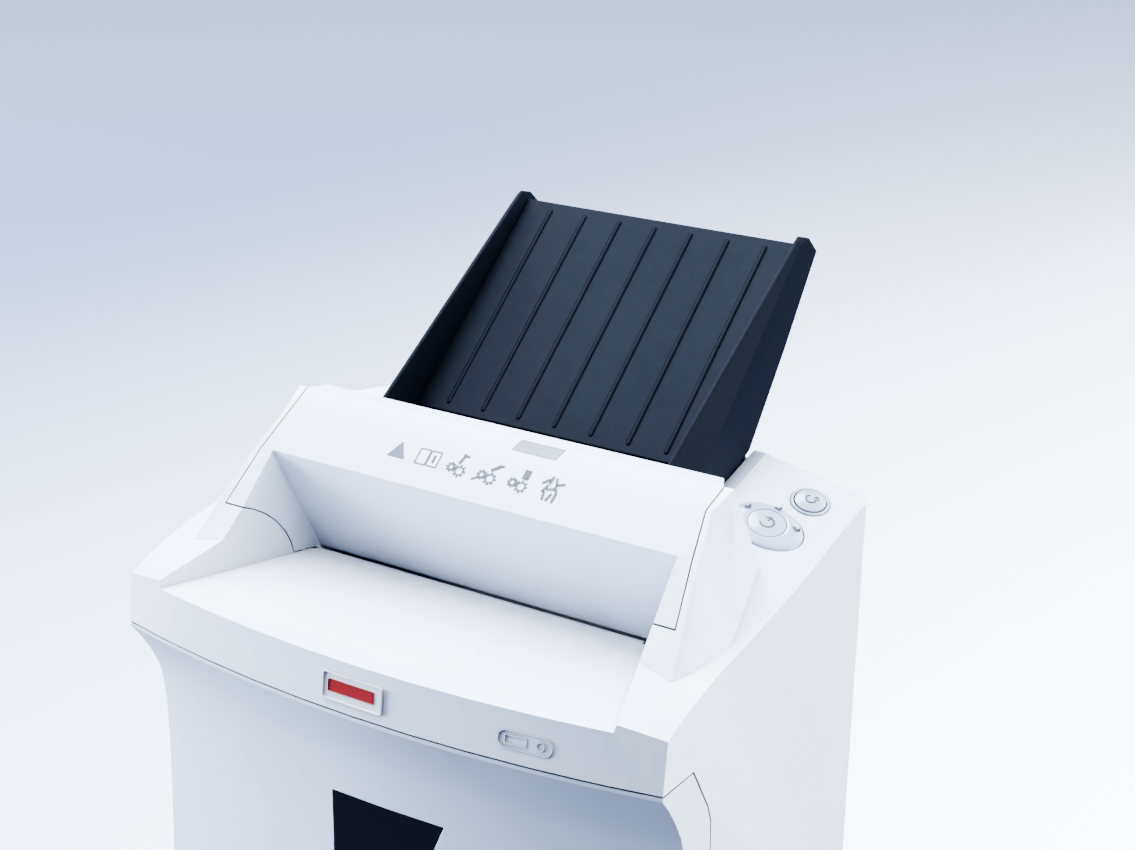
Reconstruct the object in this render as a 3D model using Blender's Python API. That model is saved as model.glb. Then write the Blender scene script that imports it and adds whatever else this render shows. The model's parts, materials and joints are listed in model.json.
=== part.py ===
"""Auto-feed paper shredder, built at rest as separate named sub-parts.

Sizes below are millimetres in the measuring frame: X to the right, Y to the back from the ends of the
front rim, Z up from the seam under the rim. at() turns them into metres in the row frame.
"""

import math

import bmesh
import bpy
from mathutils import Matrix, Vector

# ---------------------------------------------------------------- driving dimensions
SEAM_HEIGHT = 475.0
MIDDLE_Y = 157.0
HALF_WIDTH = 198.0
SKIN = 2.5
WALL = 3.0
FRONT_SAGITTA = 22.0
FRONT_CURVE = 1804.0
RIM_LEAN = 3.8
TRAY_Z = 31.0
TRAY_BACK_Y = 98.0
TRAY_BACK_Z = 33.0
BACK_Y = 285.0
CORNER_R = 50.0
SKIRT_Z = -200.0
HINGE_Y = 53.3
HINGE_Z = 36.4
DRUM_R = 31.9
HOOD_GAP = 0.9
HOOD_PIN_R = 3.0
FLOOR_Z = -475.0
BASE_TOP = -428.0
BASE_BOTTOM = -434.0
BIN_TOP = -30.0
BIN_BOTTOM = -424.0
BIN_HALF = 180.0
BIN_BACK = 262.0
GUIDE_ANGLE = math.radians(41.0)
GUIDE_FOOT = (151.0, 82.0)
ARM_INNER_X = 107.0
CUTTER_Z = 3.0
CUTTER_FRONT_Y = 91.0
CUTTER_REAR_Y = 133.0
DISC_R = 22.5
BARREL_R = 18.5
DISC_COUNT = 12
DISC_PITCH = 19.0
DISC_WIDTH = 8.6
SHAFT_R = 7.0
PLATE_IN = 126.0
PLATE_OUT = 129.0
FEED_Y = 174.0
FEED_Z = 83.6
FEED_ROLLER_R = 14.5
MOTOR_Y = 193.9
MOTOR_Z = 19.3
MOTOR_R = 26.0
CASTOR_WHEEL_R = 16.0
CASTOR_TRAIL = 13.0
POWER_AT = (160.0, 184.2)
REVERSE_AT = (171.0, 220.5)
PANEL_TILT_X = 0.292
PANEL_TILT_Y = 0.270
PANEL_CORNER_Z = 91.0

FINISH = {
    "white": ((0.80, 0.83, 0.88, 1.0), 0.38, 0.0),
    "white_inner": ((0.70, 0.73, 0.78, 1.0), 0.5, 0.0),
    "black": ((0.018, 0.022, 0.032, 1.0), 0.42, 0.0),
    "dark": ((0.05, 0.055, 0.065, 1.0), 0.6, 0.0),
    "steel": ((0.55, 0.56, 0.58, 1.0), 0.35, 1.0),
    "zinc": ((0.62, 0.64, 0.68, 1.0), 0.42, 1.0),
    "hard_steel": ((0.28, 0.29, 0.31, 1.0), 0.3, 1.0),
    "rubber": ((0.03, 0.03, 0.032, 1.0), 0.85, 0.0),
    "smoke": ((0.02, 0.025, 0.035, 1.0), 0.12, 0.0),
    "board": ((0.02, 0.16, 0.07, 1.0), 0.5, 0.0),
    "nylon": ((0.75, 0.73, 0.66, 1.0), 0.5, 0.0),
    "button": ((0.72, 0.76, 0.82, 1.0), 0.25, 0.0),
}


# ---------------------------------------------------------------- small helpers
def at(x, y, z):
    """A point of the measuring frame, in metres in the row frame."""
    return Vector((x, y - MIDDLE_Y, z + SEAM_HEIGHT)) / 1000.0


def give_material(obj, finish):
    """Give the object a Principled material of its own."""
    colour, roughness, metallic = FINISH[finish]
    material = bpy.data.materials.new(obj.name + "_" + finish)
    material.use_nodes = True
    shader = material.node_tree.nodes["Principled BSDF"]
    shader.inputs["Base Color"].default_value = colour
    shader.inputs["Roughness"].default_value = roughness
    shader.inputs["Metallic"].default_value = metallic
    material.diffuse_color = colour
    obj.data.materials.clear()
    obj.data.materials.append(material)


def solid(name, points, faces, finish=None, smooth=False):
    """A mesh object from points in the measuring frame, with its faces turned outwards."""
    mesh = bpy.data.meshes.new(name)
    mesh.from_pydata([at(*p) for p in points], [], faces)
    bm = bmesh.new()
    bm.from_mesh(mesh)
    bmesh.ops.remove_doubles(bm, verts=bm.verts, dist=1e-6)
    bmesh.ops.recalc_face_normals(bm, faces=bm.faces)
    bm.to_mesh(mesh)
    bm.free()
    obj = bpy.data.objects.new(name, mesh)
    bpy.context.scene.collection.objects.link(obj)
    for polygon in mesh.polygons:
        polygon.use_smooth = smooth
    if finish:
        give_material(obj, finish)
    return obj


def prism(name, outline, axis, low, high, finish=None, smooth=False):
    """An outline pushed along one axis. The outline gives the two other coordinates in X, Y, Z order."""
    place = {
        "X": lambda a, b, t: (t, a, b),
        "Y": lambda a, b, t: (a, t, b),
        "Z": lambda a, b, t: (a, b, t),
    }[axis]
    count = len(outline)
    points = [place(a, b, t) for t in (low, high) for a, b in outline]
    faces = [list(range(count)), list(range(2 * count - 1, count - 1, -1))]
    for i in range(count):
        j = (i + 1) % count
        faces.append([i, j, count + j, count + i])
    return solid(name, points, faces, finish, smooth)


def box(name, x, y, z, finish=None):
    """A box between pairs of limits."""
    outline = [(x[0], y[0]), (x[1], y[0]), (x[1], y[1]), (x[0], y[1])]
    return prism(name, outline, "Z", z[0], z[1], finish)


def frame_of(direction):
    """Two unit vectors square to the direction, and the direction itself."""
    w = Vector(direction).normalized()
    start = Vector((0, 0, 1)) if abs(w.z) < 0.9 else Vector((0, 1, 0))
    u = (start - w * start.dot(w)).normalized()
    return u, w.cross(u), w


def lathe(name, centre, direction, profile, segments, finish=None, closed=False, stretch=(1.0, 1.0)):
    """A profile of (radius, along) turned about an axis. A closed profile makes a ring."""
    u, v, w = frame_of(direction)
    points = []
    rings = []
    for radius, along in profile:
        ring = []
        turns = 1 if radius == 0 else segments
        for k in range(turns):
            angle = 2 * math.pi * k / segments
            p = Vector(centre) + w * along
            p += (u * math.cos(angle) * stretch[0] + v * math.sin(angle) * stretch[1]) * radius
            ring.append(len(points))
            points.append(tuple(p))
        rings.append(ring)
    pairs = list(zip(rings, rings[1:]))
    if closed:
        pairs.append((rings[-1], rings[0]))
    faces = []
    for first, second in pairs:
        for k in range(segments):
            m = (k + 1) % segments
            face = [first[k % len(first)], first[m % len(first)], second[m % len(second)], second[k % len(second)]]
            unique = list(dict.fromkeys(face))
            if len(unique) > 2:
                faces.append(unique)
    return solid(name, points, faces, finish, True)


def rod(name, centre, direction, radius, low, high, segments, finish=None):
    """A plain cylinder along a direction."""
    profile = [(0, low), (radius, low), (radius, high), (0, high)]
    obj = lathe(name, centre, direction, profile, segments, finish)
    flat_ends(obj)
    return obj


def ring(name, centre, direction, inner, outer, low, high, segments, finish=None):
    """A plain tube along a direction."""
    profile = [(inner, low), (outer, low), (outer, high), (inner, high)]
    obj = lathe(name, centre, direction, profile, segments, finish, closed=True)
    flat_ends(obj)
    return obj


def flat_ends(obj):
    """Keep sharp edges sharp on a smooth-shaded piece."""
    bpy.context.view_layer.objects.active = obj
    bpy.ops.object.select_all(action="DESELECT")
    obj.select_set(True)
    bpy.ops.object.shade_smooth_by_angle(angle=math.radians(35))


def boolean(target, tools, operation):
    """Join, cut or keep the common part with the EXACT solver, then remove the tools."""
    bpy.context.view_layer.objects.active = target
    for tool in tools:
        modifier = target.modifiers.new("boolean", "BOOLEAN")
        modifier.operation = operation
        modifier.solver = "EXACT"
        modifier.object = tool
        bpy.ops.object.modifier_apply(modifier=modifier.name)
        bpy.data.objects.remove(tool)
    return target


def cut(target, *tools):
    return boolean(target, tools, "DIFFERENCE")


def join(target, *tools):
    return boolean(target, tools, "UNION")


def set_origin(obj, x, y, z):
    """Move the object's origin to a point of the measuring frame, leaving the shape where it is."""
    point = at(x, y, z)
    obj.data.transform(Matrix.Translation(obj.location - point))
    obj.location = point


def mirrored(points):
    return [(-x, y, z) for x, y, z in points]


class Skin:
    """An open sheet of flat faces, symmetric about X = 0, thickened inwards into one closed shell."""

    def __init__(self):
        self.faces = []

    def both(self, *points):
        self.faces.append(list(points))
        self.faces.append(mirrored(points)[::-1])

    def across(self, *points):
        """A face that spans the middle: the points of its right half, front to back along each edge."""
        self.faces.append(list(points) + mirrored(points)[::-1])

    def shell(self, name, thickness, finish, outward):
        points = [p for face in self.faces for p in face]
        faces = []
        start = 0
        for face in self.faces:
            faces.append(list(range(start, start + len(face))))
            start += len(face)
        obj = solid(name, points, faces)
        mesh = obj.data
        test = max(mesh.polygons, key=lambda p: p.normal.dot(Vector(outward)) * p.area)
        other = max(mesh.polygons, key=lambda p: -p.normal.dot(Vector(outward)) * p.area)
        if other.area * -other.normal.dot(Vector(outward)) > test.area * test.normal.dot(Vector(outward)):
            mesh.flip_normals()
        modifier = obj.modifiers.new("wall", "SOLIDIFY")
        modifier.thickness = thickness / 1000.0
        modifier.offset = -1.0
        modifier.use_even_offset = True
        bpy.context.view_layer.objects.active = obj
        bpy.ops.object.modifier_apply(modifier=modifier.name)
        give_material(obj, finish)
        return obj


# ---------------------------------------------------------------- shared curves and planes
def arc_y(x):
    """Front edge in plan: a wide arc that bulges forwards in the middle."""
    return -FRONT_SAGITTA + x * x / FRONT_CURVE


def rim_y(x, z):
    """The rim's front face, which leans back as it rises."""
    return arc_y(x) + RIM_LEAN * z / TRAY_Z


def end_x(y, z):
    """Inner face of the right end wall, a plane that closes in towards the back."""
    return 150.5 - 0.4035 * (y - 57.25) + 0.3157 * (z - 54.75)


def on_end(y, z):
    return (end_x(y, z), y, z)


def panel_z(x, y):
    """The control panel's plane, which falls to the right and to the front."""
    return PANEL_CORNER_Z + PANEL_TILT_X * (HALF_WIDTH - x) + PANEL_TILT_Y * (y - 240.0)


def on_panel(x, y):
    return (x, y, panel_z(x, y))


def on_guide(s, n):
    """Y and Z of a point along and square to the sloping paper plane."""
    c, d = math.cos(GUIDE_ANGLE), math.sin(GUIDE_ANGLE)
    return (GUIDE_FOOT[0] + c * s - d * n, GUIDE_FOOT[1] + d * s + c * n)


def around_hinge(radius, degrees):
    a = math.radians(degrees)
    return (HINGE_Y + radius * math.cos(a), HINGE_Z + radius * math.sin(a))


PANEL_NORMAL = Vector((PANEL_TILT_X, -PANEL_TILT_Y, 1.0)).normalized()
RIM_COLUMNS = [0.0, 40.0, 80.0, 120.0, 150.0]

TRAY_CORNER = (167.19, rim_y(167.19, TRAY_Z), TRAY_Z)
WALL_FRONT = (168.6, rim_y(168.6, 36.0), 36.0)
KINK_IN = on_end(43.0, 51.0)
SEAM_IN = on_end(60.6, 67.57)
DRUM_LOW = on_end(84.98, 32.74)
TRAY_REAR = (127.19, TRAY_BACK_Y, TRAY_BACK_Z)
KINK_OUT = (178.0, 40.5, 46.5)
SEAM_OUT = (168.3, 60.6, 67.57)
SEAM_MID = (161.6, 90.0, 99.0)
SEAM_CREASE = (156.0, 114.5, 120.0)
SEAM_RIDGE = (157.5, 133.0, 129.0)
EDGE_LOW = (174.0, 56.0, 63.2)
EDGE_MID = (169.4, 74.0, 81.9)
EDGE_HIGH = (165.5, 90.0, 99.0)
EDGE_CREASE = (159.4, 114.0, 119.6)
EDGE_RIDGE = (163.3, 133.0, 129.0)
FOOT_FRONT = (184.5, 51.0, 49.0)
FOOT_MID = (188.5, 66.0, 52.0)
FOOT_REAR = (190.5, 87.0, 54.5)
PANEL_FRONT_IN = on_panel(173.0, 152.0)
PANEL_FRONT_OUT = on_panel(HALF_WIDTH, 152.0)
PANEL_HIDDEN = on_panel(150.0, 150.0)
SHAFT_FRONT = on_panel(130.0, 160.0)
PANEL_REAR_IN = on_panel(130.0, 240.0)
SHAFT_REAR = (130.0, 262.0, 96.0)
SIDE_TOP = [
    (HALF_WIDTH, rim_y(HALF_WIDTH, 32.0), 32.0),
    (HALF_WIDTH, 20.0, 39.0),
    (HALF_WIDTH, 40.0, 45.0),
    (HALF_WIDTH, 59.0, 50.0),
    (HALF_WIDTH, 91.0, 55.0),
]
SIDE_SEAM = [(0.0, 0.0), (34.0, 0.0), (42.0, -13.0), (53.0, -31.0), (57.0, -42.0), (58.0, -62.0)]
REAR_TOP_Z = [88.5, 86.0, 84.0, 82.5, 81.0, 80.0]


def rear_corner(radius, count=6):
    """Plan points of the right rear corner, from the side wall round to the back wall."""
    inset = CORNER_R - radius
    points = []
    for k in range(count + 1):
        a = math.pi / 2 * k / count
        centre = (HALF_WIDTH - CORNER_R, BACK_Y - CORNER_R)
        points.append((centre[0] + (CORNER_R - inset) * math.cos(a), centre[1] + (CORNER_R - inset) * math.sin(a)))
    return points


# ---------------------------------------------------------------- head cover and hood
def build_head_cover():
    skin = Skin()
    low = [(x, arc_y(x), 0.0) for x in RIM_COLUMNS]
    top = [(x, rim_y(x, TRAY_Z), TRAY_Z) for x in RIM_COLUMNS]
    rear = [(x * TRAY_REAR[0] / TRAY_CORNER[0], TRAY_BACK_Y, TRAY_BACK_Z) for x in RIM_COLUMNS]
    low_end = (TRAY_CORNER[0], arc_y(TRAY_CORNER[0]), 0.0)
    for i in range(len(RIM_COLUMNS) - 1):
        skin.both(low[i], low[i + 1], top[i + 1], top[i])
        skin.both(top[i], top[i + 1], rear[i + 1], rear[i])
    skin.both(low[-1], low_end, TRAY_CORNER, top[-1])
    skin.both(top[-1], TRAY_CORNER, DRUM_LOW, TRAY_REAR, rear[-1])
    corner_low = (HALF_WIDTH, 0.0, 0.0)
    skin.both(low_end, corner_low, SIDE_TOP[0], WALL_FRONT, TRAY_CORNER)
    drum = [on_end(*around_hinge(DRUM_R, a)) for a in (65, 50, 35, 20, 6)]
    skin.both(TRAY_CORNER, WALL_FRONT, KINK_IN, SEAM_IN, *drum, DRUM_LOW)
    skin.both(WALL_FRONT, SIDE_TOP[0], SIDE_TOP[1])
    skin.both(WALL_FRONT, SIDE_TOP[1], SIDE_TOP[2])
    skin.both(WALL_FRONT, SIDE_TOP[2], KINK_OUT, KINK_IN)
    skin.both(SIDE_TOP[2], SIDE_TOP[3], FOOT_FRONT)
    skin.both(SIDE_TOP[2], FOOT_FRONT, KINK_OUT)
    skin.both(SIDE_TOP[3], FOOT_MID, FOOT_FRONT)
    skin.both(SIDE_TOP[3], SIDE_TOP[4], FOOT_MID)
    skin.both(SIDE_TOP[4], FOOT_REAR, FOOT_MID)
    skin.both(SIDE_TOP[4], PANEL_FRONT_OUT, FOOT_REAR)
    skin.both(FOOT_REAR, PANEL_FRONT_OUT, PANEL_FRONT_IN)
    skin.both(KINK_IN, KINK_OUT, EDGE_LOW, SEAM_OUT, SEAM_IN)
    skin.both(SEAM_OUT, EDGE_LOW, EDGE_MID, EDGE_HIGH, SEAM_MID)
    skin.both(SEAM_MID, EDGE_HIGH, EDGE_CREASE, SEAM_CREASE)
    skin.both(SEAM_CREASE, EDGE_CREASE, EDGE_RIDGE, SEAM_RIDGE)
    skin.both(KINK_OUT, FOOT_FRONT, EDGE_LOW)
    skin.both(FOOT_FRONT, EDGE_MID, EDGE_LOW)
    skin.both(FOOT_FRONT, FOOT_MID, EDGE_MID)
    skin.both(FOOT_MID, EDGE_HIGH, EDGE_MID)
    skin.both(FOOT_MID, FOOT_REAR, EDGE_HIGH)
    skin.both(FOOT_REAR, EDGE_CREASE, EDGE_HIGH)
    skin.both(FOOT_REAR, EDGE_RIDGE, EDGE_CREASE)
    skin.both(FOOT_REAR, PANEL_FRONT_IN, EDGE_RIDGE)
    skin.both(EDGE_RIDGE, PANEL_FRONT_IN, PANEL_HIDDEN)
    skin.both(SEAM_RIDGE, EDGE_RIDGE, PANEL_HIDDEN)
    corner = rear_corner(CORNER_R)
    side_rear_top = (HALF_WIDTH, corner[0][1], panel_z(HALF_WIDTH, corner[0][1]))
    skin.both(
        PANEL_FRONT_IN, PANEL_FRONT_OUT, side_rear_top, PANEL_REAR_IN, SHAFT_FRONT, PANEL_HIDDEN
    )
    tops = [side_rear_top] + [(x, y, z) for (x, y), z in zip(corner[1:], REAR_TOP_Z)]
    feet = [(x, y, SKIRT_Z) for x, y in corner]
    for i in range(6):
        skin.both(tops[i], feet[i], feet[i + 1], tops[i + 1])
    for i in range(3):
        skin.both(PANEL_REAR_IN, tops[i], tops[i + 1])
    skin.both(PANEL_REAR_IN, tops[3], SHAFT_REAR)
    for i in range(3, 6):
        skin.both(SHAFT_REAR, tops[i], tops[i + 1])
    skin.across(SHAFT_REAR, tops[6])
    skin.across(tops[6], feet[6])
    seam = [(HALF_WIDTH, y, z) for y, z in SIDE_SEAM]
    seam_foot = (HALF_WIDTH, SIDE_SEAM[-1][0], SKIRT_Z)
    skin.both(*seam, seam_foot, feet[0], side_rear_top, PANEL_FRONT_OUT, *SIDE_TOP[::-1])
    cover = skin.shell("head_cover", SKIN, "white", (0, 0, 1))
    for side in (-1, 1):
        rib = box("rib", sorted((side * 165.0, side * 196.5)), (46.5, 60.0), (29.0, 43.5))
        join(cover, rib)
        cut(cover, rod("bore", (side * 160.0, HINGE_Y, HINGE_Z), (side, 0, 0), HOOD_PIN_R + 0.06, 0, 32, 24))
    cut(cover, panel_disc("hole", POWER_AT, 24.6, -12, 12, (1.0, 18.6 / 24.1)))
    cut(cover, panel_disc("hole", REVERSE_AT, 12.9, -12, 12))
    cut(cover, box("inlet_hole", (86.0, 114.0), (270.0, 300.0), (-171.0, -149.0)))
    cut(cover, box("switch_hole", (91.0, 109.0), (270.0, 300.0), (-138.0, -114.0)))


def panel_disc(name, place, radius, low, high, stretch=(1.0, 1.0), segments=32):
    """A round or oval plug square to the control panel. The stretch is along X, then towards the back."""
    centre = Vector(on_panel(*place))
    w = PANEL_NORMAL
    across = Vector((1, 0, 0))
    across = (across - w * across.dot(w)).normalized()
    back = w.cross(across)
    points = []
    for along in (low, high):
        for k in range(segments):
            a = 2 * math.pi * k / segments
            p = centre + w * along + (across * math.cos(a) * stretch[0] + back * math.sin(a) * stretch[1]) * radius
            points.append(tuple(p))
    faces = [list(range(segments)), list(range(segments, 2 * segments))]
    for k in range(segments):
        m = (k + 1) % segments
        faces.append([k, m, segments + m, segments + k])
    return solid(name, points, faces)


def build_hood():
    skin = Skin()
    face_low = (61.45, 68.47)
    inner_low = on_end(*face_low)
    outer_low = (SEAM_OUT[0] - 1.2, *face_low)
    outer_mid = (SEAM_MID[0] - 1.1, 90.0, 99.0)
    outer_crease = (SEAM_CREASE[0] - 1.1, 114.5, 120.0)
    outer_ridge = (SEAM_RIDGE[0] - 1.1, 133.0, 129.0)
    notch = on_end(90.0, 99.0)
    recess_low = on_end(104.0, 34.0)
    lip = (150.0, 145.0, 129.0)
    lip_low = (150.0, 145.6, 121.0)
    skin.both(inner_low, outer_low, outer_mid, notch)
    skin.across(notch, outer_mid, outer_crease)
    skin.across(outer_crease, outer_ridge)
    skin.across(outer_ridge, lip)
    skin.across(lip, lip_low)
    skin.across(notch, recess_low)
    radius = DRUM_R + HOOD_GAP
    drum = [on_end(*around_hinge(radius, a)) for a in (65, 50, 35, 20, 6)]
    front_low = on_end(85.6, 33.6)
    skin.both(inner_low, notch, recess_low, front_low, *drum[::-1])
    hood = skin.shell("hood", SKIN, "white", (0, -1, 1))
    ear = [around_hinge(6.5, a) for a in (60, 100, 140, 180, 220, 260, 300)]
    ear += [around_hinge(r, a) for r, a in ((20, -24), (34, -22), (44, -16), (50, 5), (56, 35))]
    ear += [(84.0, 91.0), (74.0, 80.4), (64.5, 70.2)]
    ear += [around_hinge(r, a) for r, a in ((34.6, 50), (34.6, 25), (34.6, 5), (30, -3), (8, 6))]
    for side in (-1, 1):
        plate = prism("ear", ear, "X", *sorted((side * 159.6, side * 162.4)))
        join(hood, plate)
        cut(hood, rod("bore", (side * 158.0, HINGE_Y, HINGE_Z), (side, 0, 0), HOOD_PIN_R + 0.06, 0, 7, 24))
    set_origin(hood, 0.0, HINGE_Y, HINGE_Z)
    for side, name in ((-1, "left"), (1, "right")):
        rod("hood_pin_" + name, (side * 158.5, HINGE_Y, HINGE_Z), (side, 0, 0), HOOD_PIN_R, 0, 25, 24, "zinc")


# ---------------------------------------------------------------- paper hopper and support
def build_hopper():
    floor = [on_guide(-43.7, 0), on_guide(45.0, 0), on_guide(45.6, -3.5), on_guide(90.0, -3.5)]
    floor += [(258.0, 97.5), (255.6, 95.6)]
    floor += [on_guide(88.0, -6.2), on_guide(44.5, -6.2), on_guide(40.0, -2.5), on_guide(-43.7, -2.5)]
    hopper = prism("hopper_floor", floor, "X", -106.4, 106.4, "dark")
    window = [on_guide(5.5, 3), on_guide(31.5, 3), on_guide(31.5, -5), on_guide(5.5, -5)]
    for x in (-45.0, 45.0):
        cut(hopper, prism("window", window, "X", x - 17.0, x + 17.0))
    gate = [on_guide(-0.6, 3.2), on_guide(-0.6, 30), on_guide(-3.4, 30), on_guide(-3.4, 3.2)]
    prism("paper_gate", gate, "X", -125.5, 125.5, "dark")
    guide = [(118.4, 46.0), (114.4, 24.5), (116.0, 24.2), (120.0, 45.7)]
    prism("entry_guide", guide, "X", -125.5, 125.5, "steel")


def build_support():
    rest = [on_guide(46.4, -3.0), on_guide(46.4, 0), on_guide(222.0, 0), on_guide(222.0, -3.0)]
    prism("support_rest", rest, "X", -106.6, 106.6, "black")
    for side, name in ((-1, "left"), (1, "right")):
        build_arm("support_arm_" + name, side)


def build_arm(name, side):
    """One side guide: flat inside, two long facets outside that meet in a crease."""
    outline = [(150.5, 125.0), (312.0, 234.3), (323.0, 231.5), (336.0, 220.0), (289.0, 165.0), (239.0, 111.0)]
    outline += [(214.7, 101.8), (210.0, 95.0), (207.0, 89.0), (163.0, 89.0), (150.0, 108.0)]
    crease = Vector((121.0, 170.0, 114.7))
    ridge = Vector((111.8, 309.0, 229.6))
    kink = Vector((118.0, 239.0, 111.0))
    normal = (ridge - crease).cross(kink - crease)

    def facet_x(y, z):
        return crease.x - (normal.y * (y - crease.y) + normal.z * (z - crease.z)) / normal.x

    outer = [(109.4, *outline[0]), (109.4, *outline[1])]
    outer += [(facet_x(y, z), y, z) for y, z in outline[2:9]]
    outer += [(112.0, *outline[9]), (109.4, *outline[10])]
    edge = (111.8, 155.0, 123.4)
    crease_low = (facet_x(172.0, 89.0), 172.0, 89.0)
    points = [(ARM_INNER_X, y, z) for y, z in outline] + outer + [edge, tuple(ridge), tuple(crease), crease_low]
    count = len(outline)
    e, r, c, b = 2 * count, 2 * count + 1, 2 * count + 2, 2 * count + 3
    o = count
    faces = [list(range(count))]
    faces += [[i, (i + 1) % count, o + (i + 1) % count, o + i] for i in range(count) if i != 8]
    faces += [[8, 9, o + 9, b, o + 8]]
    faces += [[o, e, r, o + 1], [o + 1, r, o + 2], [e, c, r]]
    faces += [[c, r, o + 2, o + 3, o + 4, o + 5, o + 6, o + 7, o + 8, b]]
    faces += [[o, o + 10, e], [e, o + 10, c], [o + 10, o + 9, c], [o + 9, b, c]]
    if side < 0:
        points = mirrored(points)
    solid(name, points, faces, "black")


# ---------------------------------------------------------------- cutting unit and drive
def gear(name, x, y, z, teeth, module, phase, bore, low, high, finish):
    """A spur gear about an X axis, with slim straight-flanked teeth. Phase is one tooth's angle."""
    pitch_r = teeth * module / 2
    step = 2 * math.pi / teeth
    outline = []
    for k in range(teeth):
        centre = phase + k * step
        for r, half in (
            (pitch_r - 1.2 * module, 0.27),
            (pitch_r + 0.85 * module, 0.09),
            (pitch_r + 0.85 * module, -0.09),
            (pitch_r - 1.2 * module, -0.27),
        ):
            a = centre - half * step
            outline.append((y + r * math.cos(a), z + r * math.sin(a)))
    obj = prism(name, outline, "X", x + low, x + high)
    cut(obj, rod("bore", (x, y, z), (1, 0, 0), bore, low - 2, high + 2, 20))
    give_material(obj, finish)
    set_origin(obj, x, y, z)
    return obj


def meshed_phase(first, first_teeth, first_phase, second, second_teeth):
    """The second gear's phase that puts its tooth in the first gear's gap."""
    delta = math.atan2(second[1] - first[1], second[0] - first[0])
    fraction = (delta - first_phase) * first_teeth / (2 * math.pi)
    return delta + math.pi - (2 * math.pi / second_teeth) * (0.5 - fraction)


def build_cutter(name, y, first_x, drive_low):
    """A shaft with cutting discs, turned as one piece."""
    profile = [(0, drive_low), (SHAFT_R, drive_low), (SHAFT_R, -120.0), (BARREL_R, -120.0)]
    for k in range(DISC_COUNT):
        start = first_x + k * DISC_PITCH
        profile += [(BARREL_R, start), (DISC_R, start), (DISC_R, start + DISC_WIDTH), (BARREL_R, start + DISC_WIDTH)]
    profile += [(BARREL_R, 120.0), (SHAFT_R, 120.0), (SHAFT_R, 134.0), (0, 134.0)]
    obj = lathe(name, (0.0, y, CUTTER_Z), (1, 0, 0), profile, 16, "hard_steel")
    flat_ends(obj)
    set_origin(obj, 0.0, y, CUTTER_Z)


def comb(name, root_y, tip_y, first_x, finish):
    """A stripper: a bar with fingers that reach between the discs."""
    gap_start = DISC_WIDTH + 1.0
    gap_end = DISC_PITCH - 1.0
    direction = 1 if tip_y > root_y else -1
    bar_y = root_y - direction * 6.0
    outline = [(-125.4, bar_y), (-125.4, root_y)]
    for k in range(DISC_COUNT - 1):
        x0 = first_x + k * DISC_PITCH + gap_start
        x1 = first_x + k * DISC_PITCH + gap_end
        outline += [(x0, root_y), (x0, tip_y), (x1, tip_y), (x1, root_y)]
    outline += [(125.4, root_y), (125.4, bar_y)]
    prism(name, outline, "Z", -20.6, -17.4, finish)


def build_cutting_unit():
    outline = [(62, -20), (226, -20), (226, 60), (214, 94), (182, 94), (164, 88), (150, 80), (138, 100)]
    outline += [(122, 100), (112, 60), (108, 26), (62, 26)]
    bearings = ((CUTTER_FRONT_Y, "front"), (CUTTER_REAR_Y, "rear"))
    for side, name in ((-1, "left"), (1, "right")):
        plate = prism("side_plate_" + name, outline, "X", *sorted((side * PLATE_IN, side * PLATE_OUT)))
        join(plate, box("foot", sorted((side * 110.0, side * 127.0)), (180.0, 204.0), (80.0, 88.6)))
        for y, _ in bearings:
            cut(plate, rod("hole", (side * 120, y, CUTTER_Z), (side, 0, 0), 11.06, 0, 15, 24))
        cut(plate, rod("hole", (side * 120, FEED_Y, FEED_Z), (side, 0, 0), 4.06, 0, 15, 20))
        if side < 0:
            cut(plate, rod("hole", (-120, MOTOR_Y, MOTOR_Z), (-1, 0, 0), 8.0, 0, 15, 20))
            cut(plate, rod("hole", (-120, *IDLER), (-1, 0, 0), 3.06, 0, 15, 20))
        give_material(plate, "zinc")
        for y, where in bearings:
            ring(
                "bearing_" + where + "_" + name,
                (side * 124.4, y, CUTTER_Z),
                (side, 0, 0),
                SHAFT_R + 0.06,
                11.0,
                0.0,
                6.0,
                24,
                "steel",
            )
    front_first = -118.0
    rear_first = front_first + DISC_PITCH / 2
    build_cutter("cutter_front", CUTTER_FRONT_Y, front_first, -147.0)
    build_cutter("cutter_rear", CUTTER_REAR_Y, rear_first, -158.0)
    comb("stripper_front", 68.0, 96.0, front_first, "steel")
    comb("stripper_rear", 156.0, 128.0, rear_first, "steel")
    rod("tie_bar", (0.0, 219.0, 52.0), (1, 0, 0), 3.5, -125.6, 125.6, 16, "zinc")


REAR_SHAFT = (CUTTER_REAR_Y, CUTTER_Z)
IDLER = (CUTTER_REAR_Y + 39.0 * math.cos(math.radians(15)), CUTTER_Z + 39.0 * math.sin(math.radians(15)))
MOTOR = (CUTTER_REAR_Y + 63.0 * math.cos(math.radians(15)), CUTTER_Z + 63.0 * math.sin(math.radians(15)))


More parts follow.
